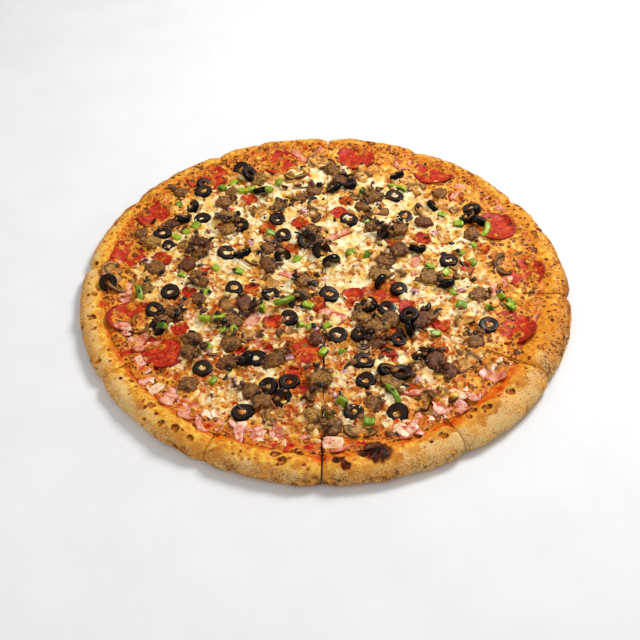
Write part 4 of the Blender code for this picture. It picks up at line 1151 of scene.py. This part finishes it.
def pepperoni_surface():
    s = Shader("pepperoni", 0.45, 0.3)
    share = s.field("share")
    s.colour = s.blend(s.noise(3.4, 4.0).span(0.36, 0.64), (158, 28, 8), (204, 58, 24))
    # Painted highlights: broad lighter orange patches
    s.cover(s.noise(9.0).span(0.5, 0.72), (226, 96, 34))
    s.cover(s.noise(1.9, 2.0).span(0.6, 0.7) * 0.6, (230, 136, 74))
    s.cover(share.span(0.84, 1.0) * 0.75, (138, 30, 14))
    s.cover(s.noise(5.0).span(0.58, 0.7) * share.span(0.4, 1.0), (96, 30, 14))
    s.roughness(s.mottled(3.0, 3.0, 0.34, 0.58))
    s.bump(s.noise(1.4, 3.0), 0.25)
    return s.done()


# Each kind of topping: its mesh's name, material and slot
KINDS = {
    "pepperoni": ("pepperoni", pepperoni_surface, "pepperoni"),
    "ham": ("ham", ham_surface, "ham"),
    "mushroom": ("mushrooms", mushroom_surface, "mushroom"),
    "sausage": ("sausage", sausage_surface, "topping"),
    "olive": ("olives", olive_surface, "topping"),
    "pepper": ("green_pepper", pepper_surface, "topping"),
    "onion": ("onion", onion_surface, "topping"),
    "crumbs": ("crumbs", crumb_surface, "topping"),
    "shreds": ("pale_shreds", shred_surface, "topping"),
}
# A node stands for the place in the table that lies within this distance
NODE_REACH = 9.0
# How deep the pieces sink, the olives by their lean
OLIVE_SINKS = (1.6, 2.3, 2.6, 1.7)
SAUSAGE_SINK = 2.0
PEPPER_SINK = 1.3
ONION_SINK = 0.6
FLAT_SINK = 0.5
STRIP_SINK = 0.2
MUSHROOM_SINK = 0.1
SHRED_SINK = 1.2
# How much melted cheese hides the flat pieces
BIT_HIDDEN = 0.54
HAM_HIDDEN = 0.56
FRONT_HAM_HIDDEN = 0.46
STRIP_HIDDEN = 0.3
MUSHROOM_HIDDEN = 0.42
# Flat pieces past these radii dip under the rim's crest, over some millimetres
PEPPERONI_DIP = 181.0
HAM_DIP = 183.0
DIP_LENGTH = 7.0
DIP_DEPTH = 5.0
# How far out scraps lie, and how many of them lie beside sausage, and are crumbs
SCRAP_REACH = 172.0
BESIDE_SAUSAGE = 0.7
CRUMB_SHARE = 0.74
# Olives whose middle is filled with cheese, and how far no shred lies from the scorched cheese
FILLED_SHARE = 0.7
SCORCH_REACH = 17.0
# The oily colour of the cheese towards the front
OILY_SHARE = 0.6


def baked_in(made, x, y, start):
    """The same piece dipping under the rim's crest, and how much more cheese covers its points."""
    points, faces, fields = made
    over = ease((np.hypot(points[:, 0] + x, points[:, 1] + y) - start) / DIP_LENGTH)
    return (points - over[:, None] * np.array([0.0, 0.0, DIP_DEPTH]), faces, fields), 0.6 * over


def lay_flat_pieces(heaps, rng):
    """Pepperoni, ham and mushrooms, which lie under the rest; returns the nodes of each kind."""
    nodes = {}
    nodes["pepperoni"], places = node_places("pepperoni", PEPPERONI, NODE_REACH)
    for x, y, turn, hidden in places:
        made, over = baked_in(pepperoni(rng, turn), x, y, PEPPERONI_DIP)
        drape(heaps["pepperoni"], made, x, y, FLAT_SINK, hidden + over)
        splat(STAIN, x, y, 25.0, 25.0, 0.0, 1.0, 3.0)
    for x, y in PEPPERONI_BITS:
        bit = pepperoni(rng, any_turn(rng), rng.uniform(4.5, 9.0), 30, PLATE_SHARES)
        drape(heaps["pepperoni"], bit, x, y, FLAT_SINK, BIT_HIDDEN)
        splat(STAIN, x, y, 13.0, 13.0, 0.0, 0.9, 3.0)
    nodes["ham"], places = node_places("ham", HAM, NODE_REACH)
    for x, y, turn in places:
        made, over = baked_in(ham(rng, turn), x, y, HAM_DIP)
        hidden = FRONT_HAM_HIDDEN if y < 0.0 else HAM_HIDDEN
        drape(heaps["ham"], made, x, y, FLAT_SINK, hidden + over)
        splat(STAIN, x, y, 17.0, 15.0, turn, 0.6, 3.0)
    for x, y, turn in HAM_STRIPS:
        drape(heaps["ham"], ham(rng, turn, 36.0, 9.0), x, y, STRIP_SINK, STRIP_HIDDEN)
    nodes["mushroom"], places = node_places("mushroom", MUSHROOMS, NODE_REACH)
    for x, y, turn in places:
        drape(heaps["mushroom"], mushroom(rng, turn), x, y, MUSHROOM_SINK, MUSHROOM_HIDDEN)
    return nodes


def lay_lumps(heaps, rng):
    """Sausage, olives, pepper and onion."""
    for x, y in SAUSAGE:
        lay(heaps["sausage"], sausage(rng), x, y, SAUSAGE_SINK)
        splat(STAIN, x, y, 12.0, 12.0, 0.0, 0.5, 3.0)
    for x, y, lean in OLIVES:
        lay(heaps["olive"], slope_laid(olive(rng, lean), x, y, OLIVE_RADIUS), x, y, OLIVE_SINKS[lean])
        if rng.random() < FILLED_SHARE:
            splat(FILLED, x, y, 4.4, 4.4, 0.0, rng.uniform(0.5, 1.0))
    for x, y, turn, length in PEPPER_STRIPS:
        lay(heaps["pepper"], pepper_strip(rng, length, turn), x, y, PEPPER_SINK)
    for x, y in PEPPER_DICE:
        lay(heaps["pepper"], pepper_dice(rng), x, y, PEPPER_SINK)
    for x, y in ONIONS:
        lay(heaps["onion"], onion(rng), x, y, ONION_SINK)


def lay_scraps(heaps, rng):
    """Crumbs and slivers between the toppings, and pale shreds in the front sauce."""
    clutter = 0.5 + 0.9 * noise_field(GRID_X, GRID_Y, 30.0, 81.0) + 0.18 * ease((50.0 - GRID_Y) / 90.0)
    for _ in range(CRUMB_TRIES):
        x, y = polar(SCRAP_REACH * math.sqrt(rng.random()), any_turn(rng))
        if rng.random() < BESIDE_SAUSAGE:
            beside = polar(rng.uniform(6.0, 13.0), any_turn(rng))
            x, y = np.add(rng.choice(SAUSAGE), beside)
        radius = math.hypot(x, y)
        chosen, kind, size = rng.random(), rng.random(), rng.uniform(1.0, 2.9)
        share = clutter[cell_of(x), cell_of(y)] * (1.0 - 0.6 * float(ease((radius - 120.0) / 45.0)))
        if chosen > share:
            continue
        made = crumb(rng, size) if kind < CRUMB_SHARE else curl(rng)
        lay(heaps["crumbs"], made, x, y, 0.45 * size)
    lay(heaps["shreds"], shred(rng, TIP_RADIUS + 1.5), 0.0, 0.0, 0.5)
    for _ in range(SHRED_COUNT):
        bearing = rng.uniform(198.0, 326.0)
        radius = float(looked_up(RIM_TABLE[1], bearing)) - rng.uniform(2.5, 15.0)
        made, spot = shred(rng, rng.uniform(2.2, 4.2)), polar(radius, bearing)
        if math.dist(spot, SCORCHED_CHEESE) > SCORCH_REACH:
            lay(heaps["shreds"], made, *spot, SHRED_SINK)


def melt_over(top):
    """Melts cheese over parts of the flat pieces, and keeps it below the rest of them."""
    patches = 0.5 + 0.75 * noise_field(GRID_X, GRID_Y, 10.0, 71.0)
    patches += 0.35 * noise_field(GRID_X, GRID_Y, 4.5, 72.0)
    share = ease((HIDDEN - patches) / 0.1)
    film = blur(PILE, 1.5) + 0.3 + 0.9 * CURDS
    top = np.where(HIDDEN > 0.0, np.minimum(top, PILE - 1.0), top)
    return top + np.maximum(film - top, 0.0) * share * (HIDDEN > 0.0)


def climb_round(top):
    """Lifts the cheese unevenly round firm pieces, and into the middles of olives."""
    uneven = ease(0.55 + 1.6 * noise_field(GRID_X, GRID_Y, 5.0, 73.0))
    top = top + 1.9 * np.clip(2.0 * blur(LUMPS, 2.6), 0.0, 1.0) * (0.3 + 0.7 * uneven) * INSIDE
    return top + 1.3 * FILLED


def make_pizza_top():
    """The toppings, and the cheese and sauce that they lie in."""
    toast, sauce = browned_share(), sauce_share()
    fields = scatter_blisters(toast)
    splat(fields["scorch"], *SCORCHED_CHEESE, 12.0, 7.5, 0.0, 1.0, 2.4)
    fields.update(toast=toast, sauce=sauce)
    curdled = 2.0 * (CURDS - 0.5) * (1.0 - 0.65 * POOLS)
    top = GROUND + (curdled + 0.9 * fields["raised"] - 0.7 * sauce) * INSIDE
    rng = random.Random(23)
    heaps = {kind: Heap() for kind in KINDS}
    nodes = lay_flat_pieces(heaps, rng)
    top = melt_over(top)
    np.maximum(PILE, top - 0.3, out=PILE)
    lay_lumps(heaps, rng)
    lay_scraps(heaps, rng)
    for kind, (name, surface, slot) in KINDS.items():
        heaps[kind].mesh_object(name, surface(), slot, nodes.get(kind, ()))
    rim_band = ease((GRID_RADIUS + 4.0 * WARP_X - CHEESE_END + 15.0) / 12.0)
    oily_front = OILY_SHARE * ease((95.0 - GRID_Y) / 150.0)
    fields["stain"] = np.maximum(np.maximum(blur(STAIN, 2.0), rim_band), oily_front)
    # How high the cheese stands over its curds and pools; the cheese's colour paints shade where this is low
    fields["relief"] = np.clip(CURDS + 0.4 * POOLS, 0.0, 1.0)
    make_cheese(cheese_surface(), climb_round(top), fields)
    return fields


def cheese_reach(bearing):
    """The radius of the cheese's wavering edge."""
    x, y = polar(180.0, bearing)
    wander = 1.6 * noise_field(x, y, 6.0, 43.0) + 0.8 * noise_field(x, y, 2.8, 44.0)
    return looked_up(RIM_TABLE[1], bearing) + wander


def make_cheese(surface, top, fields):
    """The cheese and sauce of every slice, as a closed layer with a fine top."""
    steps = round(CHEESE_REACH / CHEESE_STEP)
    for number, (first, last) in enumerate(slice_bounds(), start=1):
        top_rows, bottom_rows = [], []
        for step in range(steps + 1):
            radius, bearing = slice_row(first, last, step / steps, CHEESE_STEP, cheese_reach, CHEESE_CLOSING)
            x, y = polar(radius, bearing)
            lip = ease((cheese_reach(bearing) - radius) / 4.0)
            cut = 0.6 * np.exp(-((distance_to_faces(first, last, radius, bearing) / 0.7) ** 2))
            cut *= ease((radius - 20.0) / 100.0)
            low = dough_height(radius, bearing) + 0.25
            thick = np.maximum(sample(top, x, y) - cut - low, 0.15)
            top_rows.append(stacked(x, y, np.minimum(low + thick * (0.12 + 0.88 * lip), TOP_LIMIT)))
        for step in range(0, steps + 1, STEPS_BELOW):
            share = min(1.0, step / (steps // STEPS_BELOW * STEPS_BELOW))
            radius, bearing = slice_row(first, last, share, COARSE_STEP, cheese_reach, CHEESE_CLOSING)
            bottom_rows.append(stacked(*polar(radius, bearing), dough_height(radius, bearing) - 0.1))
        points, faces = closed_slab(top_rows, bottom_rows, False)
        shown = {name: sample(field, points[:, 0], points[:, 1]) for name, field in fields.items()}
        nodes = [f"slice_{number:02d}_topping"]
        new_piece(f"cheese_{number:02d}", points, faces, shown, surface, nodes)


# Steps of the rim's profile, from inside the cheese's edge over the crest to the foot
RIM_STEPS = (
    (0.75, 1.0, 3), (1.0, 2.0, 5), (2.0, 3.0, 5), (3.0, 4.0, 8), (4.0, 5.0, 8), (5.0, 6.0, 5), (6.0, 7.0, 6),
)
FOOT = 7.0
# Up to here on the profile the cheese's blisters show
BAKED_ON_END = 4.5
# Blisters darker than this are scorched through, and the larger ones of them stand out
SCORCHED = 0.75
LARGE_BLISTER = 8.0
SPECK_COUNT = 160
INNER_SHARES = (0.0, 0.25, 0.5, 0.75, 0.9)


def bubble_lift(x, y):
    lift = np.zeros_like(x)
    for centre_x, centre_y, reach, height in BUBBLES:
        lift += height * ease(1.0 - np.hypot(x - centre_x, y - centre_y) / reach)
    return lift


def rim_controls(bearing):
    """The profile's own points at each bearing, as (radius, height) columns."""
    flat, edge, crest, height = rim_at(bearing)
    outer = looked_up(OUTER_TABLE, bearing)
    shoulder = crest + 0.62 * (outer - crest)
    middle = (edge + crest) / 2.0
    lifts = [bubble_lift(*polar(radius, bearing)) for radius in (middle, crest, shoulder)]
    uneven = [0.8 * looked_up(table, bearing) for table in (SHOULDER_TABLE, SIDE_TABLE)]
    return np.array([
        (flat, np.full_like(flat, BASE_THICKNESS)),
        (edge, dough_height(edge, bearing)),
        (middle, dough_height(middle, bearing) + lifts[0]),
        (crest, height + lifts[1]),
        (shoulder, 0.84 * height + uneven[0] + lifts[2]),
        (outer, 0.46 * height + uneven[1]),
        (outer - 1.8, 0.17 * height),
        (outer - 7.0 + 1.2 * looked_up(FOOT_TABLE, bearing), np.zeros_like(flat)),
    ])


def along_profile(controls, place):
    """(radius, height) at a place between the control points, on a smooth curve."""
    row = min(int(place), len(controls) - 2)
    part = place - row
    before = controls[max(row - 1, 0)]
    start, end = controls[row], controls[row + 1]
    after = controls[min(row + 2, len(controls) - 1)]
    if row == 0:
        return start + (end - start) * part
    curve = 2.0 * start + (end - before) * part
    curve = curve + (2.0 * before - 5.0 * start + 4.0 * end - after) * part ** 2
    return 0.5 * (curve + (3.0 * start - before - 3.0 * end + after) * part ** 3)


def mark_rim(baked_on):
    """Where the rim is scorched, pitted and golden; its open blisters join those of the cheese."""
    char, pits, border = (np.zeros_like(GROUND) for _ in range(3))
    for x, y, size, dark in RIM_BLISTERS:
        splat(border, x, y, 1.6 * size + 1.5, 1.6 * size + 1.5, 0.0, 1.0, 1.6)
        if dark > SCORCHED:
            splat(char, x, y, 1.2 * size + 1.0, 1.1 * size + 0.5, 0.0, dark, 2.2)
            splat(pits, x, y, 1.2 * size, 1.1 * size, 0.0, 1.2 if size < LARGE_BLISTER else -1.7)
        else:
            long, short = 0.85 * size + 0.5, 0.7 * size + 0.5
            splat(baked_on["core"], x, y, long, short, 0.0, 1.0, 1.2)
            splat(baked_on["scorch"], x, y, long + 0.7, short + 0.7, 0.0, 0.4 + 0.7 * dark, 1.2, ring)
            splat(baked_on["scorch"], x + 0.2 * size, y, 0.7 * long, 0.7 * short, 0.0, 0.6 * dark, 1.2)
            splat(pits, x, y, long, short, 0.0, 2.4)
    rng = random.Random(11)
    for _ in range(SPECK_COUNT):
        bearing = any_turn(rng)
        radius = looked_up(RIM_TABLE[2], bearing) + rng.uniform(-6.0, 6.0)
        size, dark = rng.uniform(0.6, 1.8), rng.uniform(0.3, 0.8)
        splat(char, *polar(radius, bearing), size + 0.5, size + 0.3, 0.0, dark)
        splat(pits, *polar(radius, bearing), size + 0.5, size + 0.5, 0.0, 0.5)
    return char, pits, border


def puffed(grid, places, char, pits, raised):
    """The rim's grid of points with lumps, pits and blisters along its normals."""
    normal = np.cross(np.gradient(grid, axis=0), np.gradient(grid, axis=1))
    normal /= np.linalg.norm(normal, axis=-1, keepdims=True)
    x, y, z = grid[..., 0], grid[..., 1], grid[..., 2]
    out = 0.6 * noise_field(x, y, 10.0, 51.0, z) + 0.4 * noise_field(x, y, 4.6, 52.0, z)
    out += 0.25 * noise_field(x, y, 2.3, 53.0, z) - 0.9 * sample(pits, x, y) - 0.25
    out += 0.35 * sample(raised, x, y) * (places < BAKED_ON_END)[:, None]
    out += 1.4 * sample(char, x, y) * noise_field(x, y, 3.0, 54.0, z)
    faded = ease((FOOT - places) / 0.8) * ease((places - 0.7) / 0.5)
    return grid + normal * (out * faded[:, None])[..., None]


def trimmed(grid, first, last, rise):
    """The same grid rounded down beside the cuts, and kept inside the solids' outline."""
    radius, bearing = polar_of(grid[..., 0], grid[..., 1])
    cut = distance_to_faces(first, last, radius, unwrapped(bearing, first))
    grid[..., 2] -= 1.3 * np.exp(-((cut / 1.4) ** 2)) * rise
    too_far = np.minimum(1.0, (looked_up(OUTER_TABLE, bearing) - 0.7) / radius)
    grid[..., 0] *= too_far
    grid[..., 1] *= too_far
    grid[..., 2] = np.clip(grid[..., 2], 0.0, TOP_LIMIT)
    return grid


def make_crusts(surface, baked_on):
    """The dough of every slice: puffed, blistered and floured."""
    char, pits, border = mark_rim(baked_on)
    places = np.concatenate([
        np.linspace(start, end, count, endpoint=False) for start, end, count in RIM_STEPS
    ] + [[FOOT]])
    for number, (first, last) in enumerate(slice_bounds(), start=1):
        count = round(math.radians(last - first) * OUTER_RADIUS / CRUST_STEP)
        part = np.linspace(0.0, 1.0, count + 1)
        controls = rim_controls(first + (last - first) * part)
        grid = []
        for place in places:
            radius, z = along_profile(controls, place)
            x, y = polar(radius, between_cuts(first, last, radius, part))
            grid.append(stacked(x, y, np.maximum(z, 0.0)))
        grid = np.array(grid)
        rise = ease(grid[..., 2] / 4.0)
        grid = trimmed(puffed(grid, places, char, pits, baked_on["raised"]), first, last, rise)

        inner_end = along_profile(controls, places[0])[0].min()
        inner_rows, bottom_rows = [], []
        for share in INNER_SHARES:
            radius, bearing = slice_row(first, last, share, INNER_STEP, inner_end)
            x, y = polar(radius, bearing)
            inner_rows.append(stacked(x, y, dough_height(radius, bearing)))
            bottom_rows.append(stacked(x, y, np.zeros_like(x)))
        bottom_rows.append(grid[-1])
        points, faces = closed_slab(inner_rows + list(grid), bottom_rows, True)
        inner_count = sum(len(row) for row in inner_rows)
        rim_place = np.repeat(places, grid.shape[1])
        place = np.full(len(points), FOOT)
        place[:inner_count] = 0.0
        place[inner_count:inner_count + len(rim_place)] = rim_place
        fields = crust_fields(points, place, char, border, baked_on)
        nodes = [f"slice_{number:02d}_crust"]
        new_piece(f"crust_{number:02d}", points, faces, fields, surface, nodes)


def unwrapped(bearing, first):
    """Bearings brought into the turn that starts just before a slice."""
    return first - 5.0 + (bearing - first + 5.0) % 360.0


def between(value, start, rise, end, fall):
    """1 between two values, with a soft edge of its own width inside each."""
    return ease((value - start) / rise) * ease((end - value) / fall)


def crust_fields(points, place, char, border, baked_on):
    """Where the rim is floured, golden, stained, browned and scorched."""
    x, y, z = points[:, 0], points[:, 1], points[:, 2]
    _, bearing = polar_of(x, y)
    left = between(bearing, 145.0, 30.0, 238.0, 16.0)
    low_right = between(bearing, 276.0, 18.0, 356.0, 10.0)
    front = between(bearing, 205.0, 20.0, 345.0, 20.0)
    by_open_cut = bell(bearing, OPEN_CUT, 7.0)
    cheesy = cheesy_rim(bearing)
    loose = 0.6 * noise_field(x, y, 12.0, 61.0, z) + 0.3 * noise_field(x, y, 5.0, 62.0, z)
    dusty = np.maximum(left, 0.75 * low_right)
    flour = ease((place + 1.8 * loose - 3.1 + 0.8 * dusty) / 0.9) * (0.4 + 0.25 * front + 0.35 * dusty)
    stain_end = 2.1 + 0.4 * low_right + 1.2 * by_open_cut - 0.3 * left
    fields = {
        "gold": between(place, 0.6, 0.6, 4.2 - 1.1 * low_right + 1.4 * loose, 1.0),
        "flour": flour * (1.0 - 0.5 * cheesy * ease((5.0 - place) / 0.8)),
        "stain": ease((stain_end - place + 1.2 * loose) / 0.9) * (1.0 - 0.75 * cheesy),
        "brown": ease((place - 3.9 + 1.5 * loose) / 1.1),
        "freckled": between(place, 1.0, 0.6, 4.6, 0.8) * (0.35 + 0.65 * (1.0 - left)),
        "edged": between(place, 2.8, 0.8, 5.2, 0.6) * cheesy,
    }
    for name in ("scorch", "core", "halo"):
        fields[name] = sample(baked_on[name], x, y) * (place < BAKED_ON_END)
    for name, field in (("char", char), ("border", border)):
        fields[name] = sample(field, x, y) * ease((5.5 - place) / 0.8)
    return fields


def make_stage():
    """A plain pale floor, and soft studio light from behind on the right."""
    floor_mesh = bpy.data.meshes.new("floor")
    reach = 6.0
    corners = [(-1, -1), (1, -1), (1, 1), (-1, 1)]
    floor_mesh.from_pydata([(reach * x, reach * y, 0.0) for x, y in corners], [], [(0, 1, 2, 3)])
    floor = bpy.data.objects.new("floor", floor_mesh)
    bpy.context.scene.collection.objects.link(floor)
    pale = Shader("pale floor", 0.8, 0.2)
    pale.colour = pale.blend(pale.noise(60.0).span(0.3, 0.7), (240, 240, 240), (236, 236, 237))
    floor_mesh.materials.append(pale.done())

    world = bpy.data.worlds.new("studio")
    world.use_nodes = True
    sky = world.node_tree.nodes["Background"]
    sky.inputs["Color"].default_value = (1.0, 1.0, 1.0, 1.0)
    sky.inputs["Strength"].default_value = 0.39
    bpy.context.scene.world = world
    add_light("key", (0.55, 0.5, 0.95), 0.4, 9.5)
    add_light("fill", (-0.6, -0.7, 0.9), 0.9, 2.4)


def add_light(name, place, size, power):
    """A square soft light that faces the pizza."""
    light = bpy.data.lights.new(name, "AREA")
    light.size = size
    light.energy = power
    lamp = bpy.data.objects.new(name, light)
    lamp.location = place
    lamp.rotation_euler = (-Vector(place)).to_track_quat("-Z", "Y").to_euler()
    bpy.context.scene.collection.objects.link(lamp)


CAMERA_AIM = Vector((-0.0045, -0.0360, 0.0))
CAMERA_DISTANCE = 0.8335
CAMERA_ELEVATION = 45.752
CAMERA_ROLL = -0.071
CAMERA_LENS = 57.82


def make_camera():
    data = bpy.data.cameras.new("camera")
    data.lens = CAMERA_LENS
    data.clip_start = 0.01
    camera = bpy.data.objects.new("camera", data)
    elevation = math.radians(CAMERA_ELEVATION)
    back = Vector((0.0, -math.cos(elevation), math.sin(elevation)))
    camera.location = CAMERA_AIM + CAMERA_DISTANCE * back
    camera.rotation_euler = Euler((math.pi / 2.0 - elevation, 0.0, 0.0))
    camera.rotation_euler.rotate_axis("Z", math.radians(CAMERA_ROLL))
    bpy.context.scene.collection.objects.link(camera)
    bpy.context.scene.camera = camera


scene_view = bpy.context.scene.view_settings
scene_view.view_transform = "Standard"
scene_view.look = "Medium High Contrast"

make_crusts(crust_surface(), make_pizza_top())
make_stage()
make_camera()
